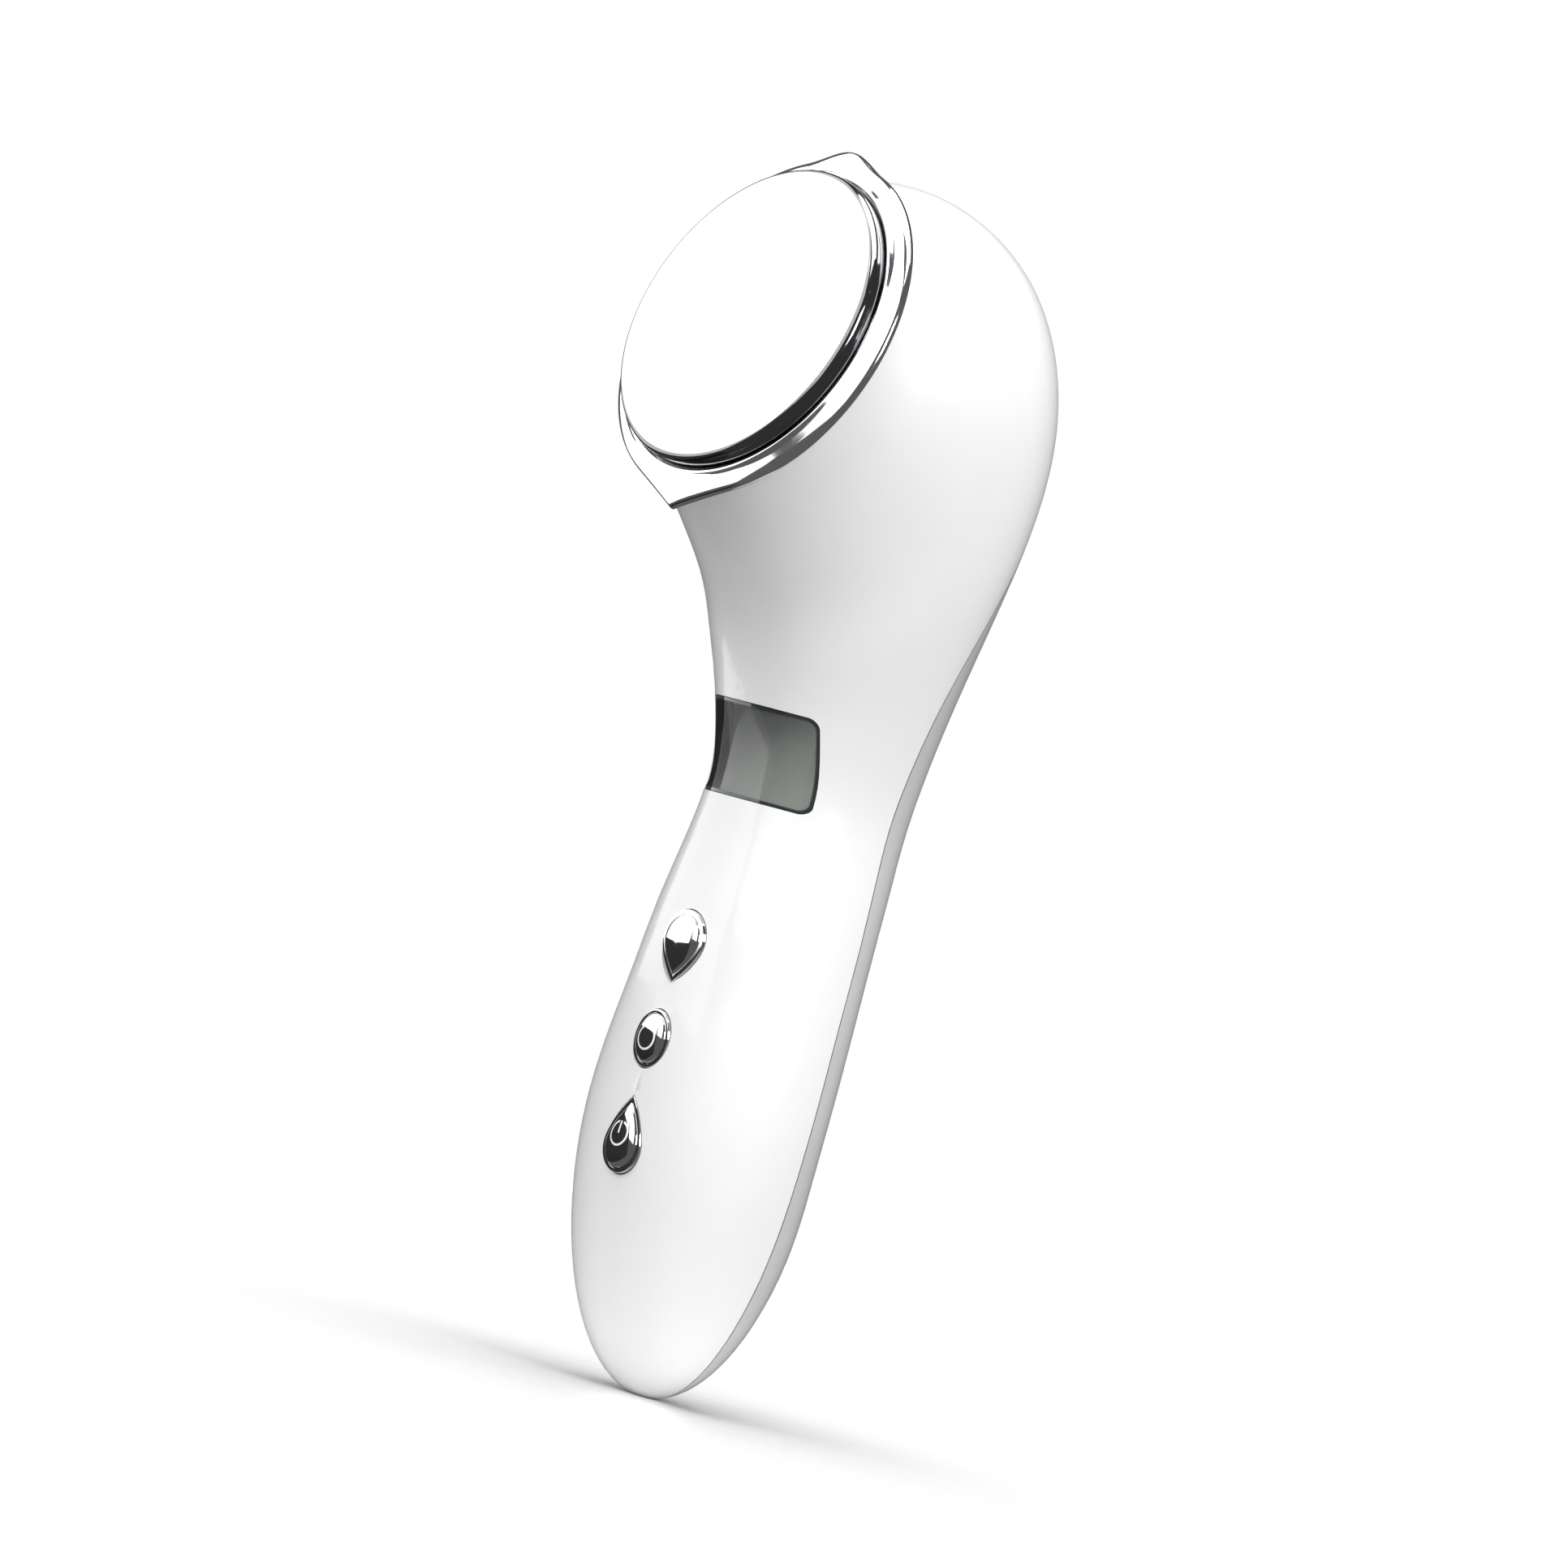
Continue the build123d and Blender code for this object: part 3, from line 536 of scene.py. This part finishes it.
def domed_key(node, body, point, name):
    centre, half_width, half_tall, front, back = key_shape(node)
    key_outline(half_width, half_tall, point)
    piece = begin(name)
    bpy.ops.mesh.select_all(action="SELECT")
    depth = back - front - KEY_BACK
    pivot = (0, point * (half_width - half_tall) * DROP_MIDDLE, 0)
    bpy.ops.transform.translate(value=(0, 0, -depth))
    climb(1.0, depth - KEY_DOME, pivot)
    for scale, rise in KEY_RIM:
        climb(scale, rise * MM, pivot)
    now_scale, now_height = 1.0, 0.0
    for step in range(1, DOME_STEPS + 1):
        turn = DOME_STEP_TURN * step
        scale, height = math.cos(turn), math.sin(turn) * KEY_DOME * DOME_FULLNESS
        climb(scale / now_scale, height - now_height, pivot)
        now_scale, now_height = scale, height
    bpy.ops.mesh.poke()
    bpy.ops.mesh.select_all(action="SELECT")
    bpy.ops.mesh.normals_make_consistent(inside=False)
    bpy.ops.object.mode_set(mode="OBJECT")
    put_in_place(piece, Matrix.Translation((centre.x, front, centre.z)) @ FACING)
    smooth(piece, KEY_CRISP)
    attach(piece, body)
    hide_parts(node)
    marked_chrome(name, centre, MARKS[name]).cover(piece)
    print(name, "is", round(2 * half_width / MM, 1), "by", round(2 * half_tall / MM, 1), "mm")


domed_key("mode_button", "mode_key", -1, "mode_cap")
domed_key("level_button", "level_key", 0, "level_cap")
domed_key("power_button", "power_key", 1, "power_cap")


# %% [markdown]
# The display window is smoked acrylic with a black border printed behind it. The border is opaque and
# the middle lets the grey-green liquid-crystal glass show through, so alpha carries the print. A box
# distance with rounded corners, measured from the window's own middle, gives both. A painted reflection
# of the room, lighter towards one lower corner, is put into the window's colour and alpha.
# %% Smoked window and liquid-crystal glass
def middle_of(node):
    low, high = (Vector(corner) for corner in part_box(node))
    return (low + high) / 2, (high - low) / 2


def outside_frame(finish, centre, half_width, half_tall, corner):
    """Distance outside a rounded rectangle that faces the front, negative inside."""
    x, _, z = finish.axes()
    over_x = finish.maths("MAXIMUM", abs(x - centre.x) - (half_width - corner), 0.0)
    over_z = finish.maths("MAXIMUM", abs(z - centre.z) - (half_tall - corner), 0.0)
    return length_of(over_x, over_z) - corner


PRINT_BORDER = 0.45 * MM
PRINT_CORNER = 1.2 * MM
PRINT_FADE = 0.15 * MM        # to each side of the border's edge


def smoked_window():
    finish = Finish("smoked_acrylic", (0.03, 0.033, 0.035), 0.08)
    centre, half = middle_of("display_window")
    away = outside_frame(finish, centre, half.x - PRINT_BORDER, half.z - PRINT_BORDER, PRINT_CORNER)
    printed = ramp(away, -PRINT_FADE, PRINT_FADE)
    scuff = finish.noise(350.0, 5.0)
    x, _, z = finish.axes()
    # painted reflection: the window is lighter and more opaque towards its lower right, standing for the room
    # that it reflects
    haze_and_painted_reflection = ramp((x - centre.x) / half.x - (z - centre.z) / half.z * 0.5, -0.4, 1.3)
    smoke_and_painted_reflection = finish.blend(haze_and_painted_reflection, (0.05, 0.055, 0.055), (0.3, 0.32, 0.29))
    finish.set("Base Color", finish.blend(printed, smoke_and_painted_reflection, (0.03, 0.032, 0.034)))
    finish.set("Alpha", 0.2 + haze_and_painted_reflection * 0.5 + printed * (0.8 - haze_and_painted_reflection * 0.5))
    finish.set("Roughness", 0.05 + ramp(scuff, 0.5, 0.8) * 0.1)
    finish.bump(finish.noise(60.0, 1.0), 0.05, 0.0002)
    finish.set("Coat Weight", 0.6)
    finish.set("Coat Roughness", 0.04)
    finish.cover(nodes["display_window"])
    print("window", round(2 * half.x / MM, 1), "mm wide")


def lcd_glass():
    finish = Finish("lcd_glass", (0.3, 0.33, 0.3), 0.15)
    centre, half = middle_of("lcd_panel")
    x, _, z = finish.axes()
    slope = (x - centre.x) / half.x - (z - centre.z) / half.z
    cells = finish.node("ShaderNodeTexChecker", {}, {"Vector": finish.place, "Scale": 2600.0})["Fac"]
    # painted light: the glass is painted lighter towards its lower right
    painted_light = ramp(slope + finish.noise(80.0) * 0.4, -1.4, 1.8)
    finish.set("Base Color", finish.blend(painted_light, (0.16, 0.17, 0.17), (0.74, 0.78, 0.72)))
    finish.set("Roughness", 0.12 + cells * 0.06)
    finish.bump(cells, 0.04, 0.00003)
    finish.cover(nodes["lcd_panel"])


smoked_window()
lcd_glass()


# %% [markdown]
# The pieces inside are seen when the handle is opened, so each gets the look of its own stuff. Most
# moulded or cast pieces differ only in colour, gloss and grain, and one recipe serves them: a slow
# noise shifts the colour, a fine one the roughness, and both lift the surface a little.
# %% Plain grained finishes
def grained(name, wanted, color, roughness, metallic=0.0, grain=600.0, depth=0.08):
    finish = Finish(name, color, roughness, metallic)
    slow = finish.noise(grain / 9)
    fine = finish.noise(grain, 4.0)
    finish.set("Base Color", finish.blend(ramp(slow, 0.3, 0.7), color, tuple(c * 0.8 for c in color)))
    finish.set("Roughness", roughness + fine * 0.14 - 0.07)
    finish.bump(slow * 0.4 + fine, depth, 0.0002)
    finish.cover(*(nodes[node] for node in wanted))


KEYS = ("mode", "level", "power")
grained("stem_acetal", [key + "_switch_stem" for key in KEYS], (0.78, 0.77, 0.73), 0.42)
grained("retainer_nylon", ["plate_retainer"], (0.7, 0.7, 0.67), 0.5, 0.0, 420.0, 0.14)
grained("seal_silicone", ["plate_seal"], (0.55, 0.57, 0.58), 0.38, 0.0, 300.0, 0.1)
grained("holder_rubber", ["motor_holder"], (0.035, 0.035, 0.037), 0.72, 0.0, 900.0, 0.2)
grained("socket_nylon", ["charge_socket"], (0.025, 0.025, 0.027), 0.4, 0.0, 700.0, 0.12)
grained("thermistor_epoxy", ["thermistor"], (0.05, 0.12, 0.09), 0.22, 0.0, 1800.0, 0.2)
grained("weight_tungsten", ["eccentric_weight"], (0.33, 0.32, 0.31), 0.42, 1.0, 1500.0, 0.25)
print("grained finishes done")


# %% [markdown]
# Turned and drawn metal shows where the tool or the die went. A screw's zinc has fine rings and a
# yellow blush in places, and a motor can is drawn along its axis, so its marks run with it.
# %% Zinc, steel and drawn cans
def banded_metal(name, wanted, color, tint, roughness, axis, scale):
    """Metal with fine marks that follow one axis: 0 is X, 1 is Y and 2 is Z."""
    finish = Finish(name, color, roughness, 1.0)
    marks = finish.bands(finish.axes()[axis], scale, 3.0)
    blush = finish.noise(260.0)
    finish.set("Base Color", finish.blend(ramp(blush, 0.45, 0.75), color, tint))
    finish.set("Roughness", roughness + marks * 0.16 + blush * 0.06 - 0.1)
    finish.bump(marks, 0.1, 0.00006)
    finish.cover(*(nodes[node] for node in wanted))


banded_metal("screw_zinc", ["board_screws", "retainer_screws"],
             (0.66, 0.65, 0.62), (0.7, 0.62, 0.42), 0.32, 1, 9000.0)
banded_metal("motor_can", ["vibration_motor"], (0.62, 0.62, 0.63), (0.5, 0.5, 0.52), 0.3, 0, 5000.0)
banded_metal("shaft_steel", ["motor_shaft"], (0.72, 0.72, 0.73), (0.6, 0.58, 0.55), 0.24, 2, 14000.0)
print("banded metals done")


# %% [markdown]
# A circuit board is glass cloth under a green mask. Copper traces show as paler lines that keep to a
# grid, pads are bare tin, and the cloth's weave is a faint ripple. A grid is two repeated saw waves,
# and coarse random cells decide where a trace runs and where the ground is plain.
# %% Circuit board
TRACE_PITCH = 0.8 * MM
PAD_PITCH = 1.6 * MM
WEAVE_PITCH = 0.25 * MM


def circuit_board():
    finish = Finish("board_mask", (0.02, 0.16, 0.07), 0.3)
    x, _, z = finish.axes()
    choice = finish.node("ShaderNodeSeparateColor", {}, {0: finish.cells(160.0)["Color"]})
    upright = (saw(x, TRACE_PITCH) < 0.16) * (choice["Red"] > 0.45)
    level = (saw(z, TRACE_PITCH) < 0.16) * (choice["Green"] > 0.55)
    trace = either(upright, level)
    pads = (saw(x, PAD_PITCH) < 0.17) * (saw(z, PAD_PITCH) < 0.17) * (choice["Blue"] > 0.6)
    green = finish.blend(trace, (0.02, 0.15, 0.065), (0.06, 0.3, 0.13))
    finish.set("Base Color", finish.blend(pads, green, (0.7, 0.7, 0.68)))
    finish.set("Metallic", pads * 0.9)
    weave = saw(x, WEAVE_PITCH) * saw(z, WEAVE_PITCH)
    finish.set("Roughness", 0.26 + weave * 0.3 + finish.noise(300.0) * 0.08)
    finish.bump(trace * 0.6 + pads + weave, 0.2, 0.00005)
    finish.cover(nodes["main_board"])


circuit_board()
print("board done")


# %% [markdown]
# The parts on the board are told apart by their tops. The controller has metal legs along its edges,
# a switch has a steel cover over a dark base, the sounder has a hole in its middle, and the
# transformer is wound under yellow tape between two ferrite cheeks. Each pattern is measured from
# the middle of its own node's box.
# %% Parts on the board
LEG_LENGTH = 0.7 * MM
LEG_PITCH = 0.6 * MM
SWITCH_COVER = 1.2 * MM       # depth of a switch's steel cover
SOUNDER_HOLE = 0.8 * MM
SOUNDER_TOP = 3.4 * MM
TAPE_PITCH = 1.1 * MM
CHEEK_START = 0.62            # share of the transformer's half height


def round_distance(finish, centre):
    """Distance from a centre in the plane of the board."""
    x, _, z = finish.axes()
    return length_of(x - centre.x, z - centre.z)


def controller():
    finish = Finish("controller_resin", (0.02, 0.02, 0.022), 0.55)
    centre, half = middle_of("controller_chip")
    x, _, z = finish.axes()
    away = outside_frame(finish, centre, half.x - LEG_LENGTH, half.z - LEG_LENGTH, 0.1 * MM)
    legs = (away > 0.0) * either(saw(x, LEG_PITCH) < 0.28, saw(z, LEG_PITCH) < 0.28)
    finish.set("Base Color", finish.blend(legs, (0.018, 0.018, 0.02), (0.72, 0.72, 0.7)))
    finish.set("Metallic", legs)
    finish.set("Roughness", 0.58 - legs * 0.28 + finish.noise(900.0) * 0.1)
    finish.bump(finish.noise(2500.0, 4.0) - legs * 0.5, 0.12, 0.0001)
    finish.cover(nodes["controller_chip"])


def switches():
    finish = Finish("switch_cover", (0.6, 0.6, 0.6), 0.35)
    _, y, _ = finish.axes()
    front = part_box("button_switches")[0][1]
    plated = y < front + SWITCH_COVER
    finish.set("Base Color", finish.blend(plated, (0.03, 0.03, 0.033), (0.7, 0.7, 0.69)))
    finish.set("Metallic", plated)
    finish.set("Roughness", 0.45 - plated * 0.15 + finish.noise(700.0) * 0.12)
    finish.bump(finish.noise(1200.0, 4.0), 0.1, 0.0001)
    finish.cover(nodes["button_switches"])


def sounder():
    finish = Finish("sounder_case", (0.03, 0.03, 0.03), 0.45)
    radius = round_distance(finish, middle_of("buzzer")[0])
    hole = radius < SOUNDER_HOLE
    step = (radius > SOUNDER_TOP) * 0.6
    # painted shade: the hole is painted near-black to stand for the shade inside it
    finish.set("Base Color", finish.blend(hole, (0.035, 0.035, 0.037), (0.003, 0.003, 0.003)))
    finish.set("Roughness", 0.42 + finish.noise(800.0) * 0.12)
    finish.bump(finish.noise(1500.0) * 0.2 - hole - step, 0.4, 0.0003)
    finish.cover(nodes["buzzer"])


def transformer():
    finish = Finish("transformer_tape", (0.8, 0.6, 0.08), 0.3)
    centre, half = middle_of("driver_transformer")
    _, _, z = finish.axes()
    cheek = abs(z - centre.z) > half.z * CHEEK_START
    wrap = saw(z, TAPE_PITCH)
    finish.set("Base Color", finish.blend(cheek, (0.82, 0.6, 0.06), (0.06, 0.058, 0.056)))
    finish.set("Roughness", 0.28 + cheek * 0.3 + finish.noise(500.0) * 0.1)
    finish.bump(wrap * (1 - cheek) + finish.noise(900.0) * 0.4, 0.3, 0.0002)
    finish.cover(nodes["driver_transformer"])


controller()
switches()
sounder()
transformer()
print("board parts done")


# %% [markdown]
# The heater is a copper track that winds through an amber film. Rings about the plate's centre with a
# noise to make them wander read as that track. The piezo disc beside it is fired ceramic with a
# silvered face that stops short of its rim.
# %% Heater film and piezo disc
TRACK_PITCH = 1.7 * MM
TRACK_WANDER = 0.6 * MM
SILVER_RADIUS = 11.4 * MM


def heater():
    finish = Finish("heater_amber", (0.6, 0.3, 0.05), 0.3)
    wander = plate_radius(finish) + finish.noise(120.0, 1.0) * TRACK_WANDER
    track = saw(wander, TRACK_PITCH) < 0.3
    finish.set("Base Color", finish.blend(track, (0.55, 0.26, 0.04), (0.7, 0.42, 0.2)))
    finish.set("Metallic", track * 0.7)
    finish.set("Roughness", 0.25 + finish.noise(400.0) * 0.15)
    finish.bump(track, 0.3, 0.00005)
    finish.cover(nodes["heater_film"])


def piezo():
    finish = Finish("piezo_silver", (0.8, 0.79, 0.75), 0.4)
    silver = plate_radius(finish) < SILVER_RADIUS
    stain = finish.noise(220.0)
    finish.set("Base Color", finish.blend(silver, (0.75, 0.71, 0.62), (0.78, 0.78, 0.77)))
    finish.set("Metallic", silver * 0.85)
    finish.set("Roughness", 0.34 + stain * 0.2)
    finish.bump(finish.noise(1800.0, 4.0) + silver * 0.5, 0.15, 0.00008)
    finish.cover(nodes["piezo_disc"])


heater()
piezo()
print("heater and piezo disc done")


# %% [markdown]
# A light guide is milky and dotted so that light leaks out evenly, and the rubber strip beside it
# carries the glass's signals through hundreds of thin black stripes. Both are one repeated pattern.
# %% Light guide and contact strip
DOT_PITCH = 0.7 * MM
STRIPE_PITCH = 0.2 * MM


def light_guide():
    finish = Finish("guide_milky", (0.9, 0.9, 0.88), 0.35)
    x, _, z = finish.axes()
    dots = (saw(x, DOT_PITCH) < 0.2) * (saw(z, DOT_PITCH) < 0.2)
    finish.set("Base Color", finish.blend(dots, (0.88, 0.89, 0.87), (0.97, 0.97, 0.96)))
    finish.set("Roughness", 0.3 + dots * 0.25 + finish.noise(300.0) * 0.06)
    finish.bump(dots, 0.3, 0.00008)
    finish.cover(nodes["lcd_backlight"])


def contact_strip():
    finish = Finish("strip_rubber", (0.2, 0.2, 0.2), 0.6)
    x, _, _ = finish.axes()
    stripe = saw(x, STRIPE_PITCH) < 0.25
    finish.set("Base Color", finish.blend(stripe, (0.75, 0.74, 0.7), (0.02, 0.02, 0.02)))
    finish.set("Roughness", 0.55 + stripe * 0.15)
    finish.bump(stripe, 0.2, 0.00004)
    finish.cover(nodes["lcd_connector"])


light_guide()
contact_strip()
print("light guide and strip done")


# %% [markdown]
# The cell is wrapped in thin blue film with long creases, which leaves its two ends bare. Its leads,
# and the others, come in pairs: red on one side and black on the other, with a soft drawn gloss. The
# side is read from X, because the middle plane runs between the two.
# %% Battery wrap and leads
BARE_END = 2.2 * MM           # length of the battery's end that the film leaves bare


def battery_wrap():
    finish = Finish("wrap_blue", (0.05, 0.16, 0.34), 0.28)
    centre, half = middle_of("battery_pack")
    x, _, z = finish.axes()
    creases = finish.bands(x + z * 0.15, 900.0)
    cap = abs(z - centre.z) > half.z - BARE_END
    finish.set("Base Color", finish.blend(cap, (0.045, 0.15, 0.33), (0.75, 0.7, 0.45)))
    finish.set("Roughness", 0.22 + cap * 0.25 + creases * 0.12)
    finish.bump(creases * (1 - cap) + cap * 0.7, 0.2, 0.00012)
    finish.cover(nodes["battery_pack"])


def paired_leads():
    finish = Finish("lead_sleeve", (0.4, 0.02, 0.02), 0.35)
    x, _, _ = finish.axes()
    red = x > 0.0
    finish.set("Base Color", finish.blend(red, (0.02, 0.02, 0.022), (0.5, 0.02, 0.018)))
    finish.set("Roughness", 0.3 + finish.noise(500.0) * 0.16)
    finish.bump(finish.noise(800.0, 3.0), 0.12, 0.0001)
    finish.cover(nodes["head_leads"], nodes["battery_leads"], nodes["motor_leads"])


battery_wrap()
paired_leads()
print("battery and leads done")


# %% [markdown]
# The pad behind the battery is a block of grey foam, pressed between the flat cell and the curved
# cover. A cube is given soft edges, divided finely and wrapped onto the room that it fills, which
# takes the cover's curve on its back. Open cells are a Voronoi pattern in the bump, and the colour is
# painted darker where the bump is low: painted shade in the cells.
# %% Foam pad
PAD_EASE = 0.985              # the pad keeps just inside the room it fills
PAD_EDGE = 0.5 * MM
PAD_CUTS = 12
PAD_CRISP = 60                # degrees


def foam_pad():
    centre, half = middle_of("battery_pad")
    start_clean()
    bpy.ops.mesh.primitive_cube_add(size=2)
    pad = begin("foam_pad")
    bpy.ops.mesh.select_all(action="SELECT")
    bpy.ops.transform.resize(value=half * PAD_EASE)
    bpy.ops.mesh.bevel(offset=PAD_EDGE, segments=3)
    bpy.ops.mesh.select_all(action="SELECT")
    bpy.ops.mesh.subdivide(number_cuts=PAD_CUTS)
    bpy.ops.object.mode_set(mode="OBJECT")
    put_in_place(pad, Matrix.Translation(centre))
    add_modifier(pad, "SHRINKWRAP", target=nodes["battery_pad"], wrap_method="NEAREST_SURFACEPOINT",
                 wrap_mode="INSIDE", offset=0.1 * MM)
    add_modifier(pad, "SMOOTH", factor=0.5, iterations=3)
    smooth(pad, PAD_CRISP)
    finish = Finish("foam_cells", (0.2, 0.2, 0.21), 0.9)
    cells = finish.cells(1500.0)["Distance"]
    clumps = finish.noise(160.0)
    # painted shade: the foam is darker where the cells' bump is low
    finish.set("Base Color", finish.blend(ramp(cells, 0.1, 0.6), (0.24, 0.24, 0.25), (0.09, 0.09, 0.1)))
    finish.set("Roughness", 0.82 + clumps * 0.15)
    finish.bump(1 - cells + clumps * 0.3, 0.7, 0.0003)
    finish.cover(pad)
    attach(pad, "handset")
    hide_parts("battery_pad")
    print("foam pad", [round(2 * side / MM, 1) for side in half], "mm")


foam_pad()


# %% [markdown]
# The camera looks level from the front and one side, with a long lens and a slight roll, so that the
# handle leans in the view. The light panels at its sides and the card that the plate mirrors are set
# out from its direction as well.
# %% View direction
AZIMUTH = math.radians(50.0)
LEAN = math.radians(15.0)     # the camera's turn about its own line of sight
LENS = 200.0
SENSOR = 36.0
VIEW_WIDTH = 0.2345           # metres across the view at the object
DISTANCE = LENS / SENSOR * VIEW_WIDTH
AIM = Vector((0, -0.0023, 0.0442))
toward_camera = Vector((math.sin(AZIMUTH), -math.cos(AZIMUTH), 0))
side = Vector((math.cos(AZIMUTH), math.sin(AZIMUTH), 0))
up = Vector((0, 0, 1))
print("camera", round(DISTANCE, 3), "m away")


# %% [markdown]
# The stage is a pale floor under the tip that fades into the white behind it. Chrome only looks like
# chrome when it has both bright and dark things to reflect. So mirrors see a dark room with two
# bright cards in it, one that the polished plate faces and one in front, and a small dark card
# stands beside the keys. Only reflections can see the cards.
# %% Floor and cards
FLOOR_RADIUS = 0.07
FLOOR_GAP = 0.1 * MM          # under the tip


def pale_floor():
    """A white floor that fades into the white background, so that it has no visible edge."""
    start_clean()
    bpy.ops.mesh.primitive_grid_add(x_subdivisions=4, y_subdivisions=4, size=3 * FLOOR_RADIUS,
                                    location=(0, 0, tip.z - FLOOR_GAP))
    floor = bpy.context.object
    floor.name = "floor"
    finish = Finish("floor_white", (0.93, 0.93, 0.93), 0.2)
    x, y, _ = finish.axes()
    finish.set("Alpha", 1 - ramp(length_of(x, y), 0.1 * FLOOR_RADIUS, FLOOR_RADIUS))
    finish.set("Roughness", 0.2 + finish.noise(30.0) * 0.06)
    finish.cover(floor)
    floor.visible_glossy = False


def card(name, location, target, width, height, shade, glow=0.0):
    """A card that only reflections can see: dark, or bright where it glows."""
    start_clean()
    bpy.ops.mesh.primitive_plane_add(size=1, location=location)
    piece = bpy.context.object
    piece.name = name
    piece.scale = (width, height, 1)
    piece.rotation_euler = (Vector(target) - Vector(location)).to_track_quat("Z", "Y").to_euler()
    piece.visible_camera = False
    piece.visible_shadow = False
    piece.visible_diffuse = False
    paint = Finish(name + "_paint", (shade, shade, shade), 0.9)
    paint.set("Emission Color", (1, 1, 1))
    paint.set("Emission Strength", glow)
    paint.cover(piece)


print("floor", round(2 * FLOOR_RADIUS, 3), "m wide, at", round(tip.z - FLOOR_GAP, 4))


# %% [markdown]
# Soft light comes from three large panels: one above, one to the left and one to the right of the
# camera. The world is white for the camera, grey for the light it gives, and dark for mirrors.
# %% Light panels and world
def panel(name, location, target, size, energy):
    """A square light that faces its target."""
    light = bpy.data.lights.new(name, "AREA")
    light.shape = "RECTANGLE"
    light.size = size
    light.size_y = size
    light.energy = energy
    lamp = bpy.data.objects.new(name, light)
    lamp.location = location
    lamp.rotation_euler = (Vector(target) - Vector(location)).to_track_quat("-Z", "Y").to_euler()
    bpy.context.scene.collection.objects.link(lamp)


ROOM_LIGHT = 0.5              # soft light from all round
MIRROR_ROOM = 0.11            # the room as mirrors see it, dark between the white cards


def studio_world():
    """White behind the object for the camera, a soft room for its lighting and a dark one for mirrors."""
    world = bpy.data.worlds.new("studio")
    bpy.context.scene.world = world
    world.use_nodes = True
    room = Graph(world.node_tree)
    room.tree.nodes.clear()
    path = room.node("ShaderNodeLightPath")

    def backdrop(strength):
        return room.node("ShaderNodeBackground", {}, {"Color": (1, 1, 1), "Strength": strength})["Background"]

    seen = backdrop(ROOM_LIGHT)
    for ray, strength in (("Is Glossy Ray", MIRROR_ROOM), ("Is Camera Ray", 1.0)):
        seen = room.node("ShaderNodeMixShader", {}, {0: path[ray], 1: seen, 2: backdrop(strength)})["Shader"]
    room.node("ShaderNodeOutputWorld", {}, {"Surface": seen})


def studio():
    pale_floor()
    middle = Vector((0, -0.01, 0.04))
    keys_centre = sum((key_shape(key + "_button")[0] for key in KEYS), Vector()) / len(KEYS)
    panel("top_panel", middle + up * 0.9, middle, 0.8, 9.0)
    panel("left_panel", middle - side * 0.7 + toward_camera * 0.5 + up * 0.65, middle, 0.7, 5.5)
    panel("right_panel", middle + side * 0.7 + toward_camera * 0.9 + up * 0.5, middle, 0.5, 9.0)
    mirrored = 2 * face_axis.dot(toward_camera) * face_axis - toward_camera
    card("face_card", face_centre + mirrored * 0.8, face_centre, 1.2, 1.5, 0.9, 1.1)
    card("front_card", face_centre + Vector((0.12, -0.87, 0.44)) * 0.9, face_centre, 0.7, 0.8, 0.9, 1.0)
    card("dark_card_keys", keys_centre + Vector((-0.055, -0.045, -0.022)), keys_centre, 0.13, 0.07, 0.01)
    studio_world()
    bpy.context.scene.view_settings.view_transform = "Standard"


studio()
print("panels and world done")


# %% [markdown]
# The camera's own axes come from the view direction and its roll. It is set so far back that the
# view is exactly VIEW_WIDTH across at the point that it aims at.
# %% Camera
def camera():
    data = bpy.data.cameras.new("camera")
    data.lens = LENS
    data.sensor_width = SENSOR
    holder = bpy.data.objects.new("camera", data)
    bpy.context.scene.collection.objects.link(holder)
    camera_right = side * math.cos(LEAN) + up * math.sin(LEAN)
    camera_up = -side * math.sin(LEAN) + up * math.cos(LEAN)
    turned = Matrix((camera_right, camera_up, toward_camera)).transposed().to_4x4()
    holder.matrix_world = Matrix.Translation(AIM + toward_camera * DISTANCE) @ turned
    data.clip_start = 0.01
    bpy.context.scene.camera = holder


camera()
print("camera aims at", tuple(round(value, 4) for value in AIM))
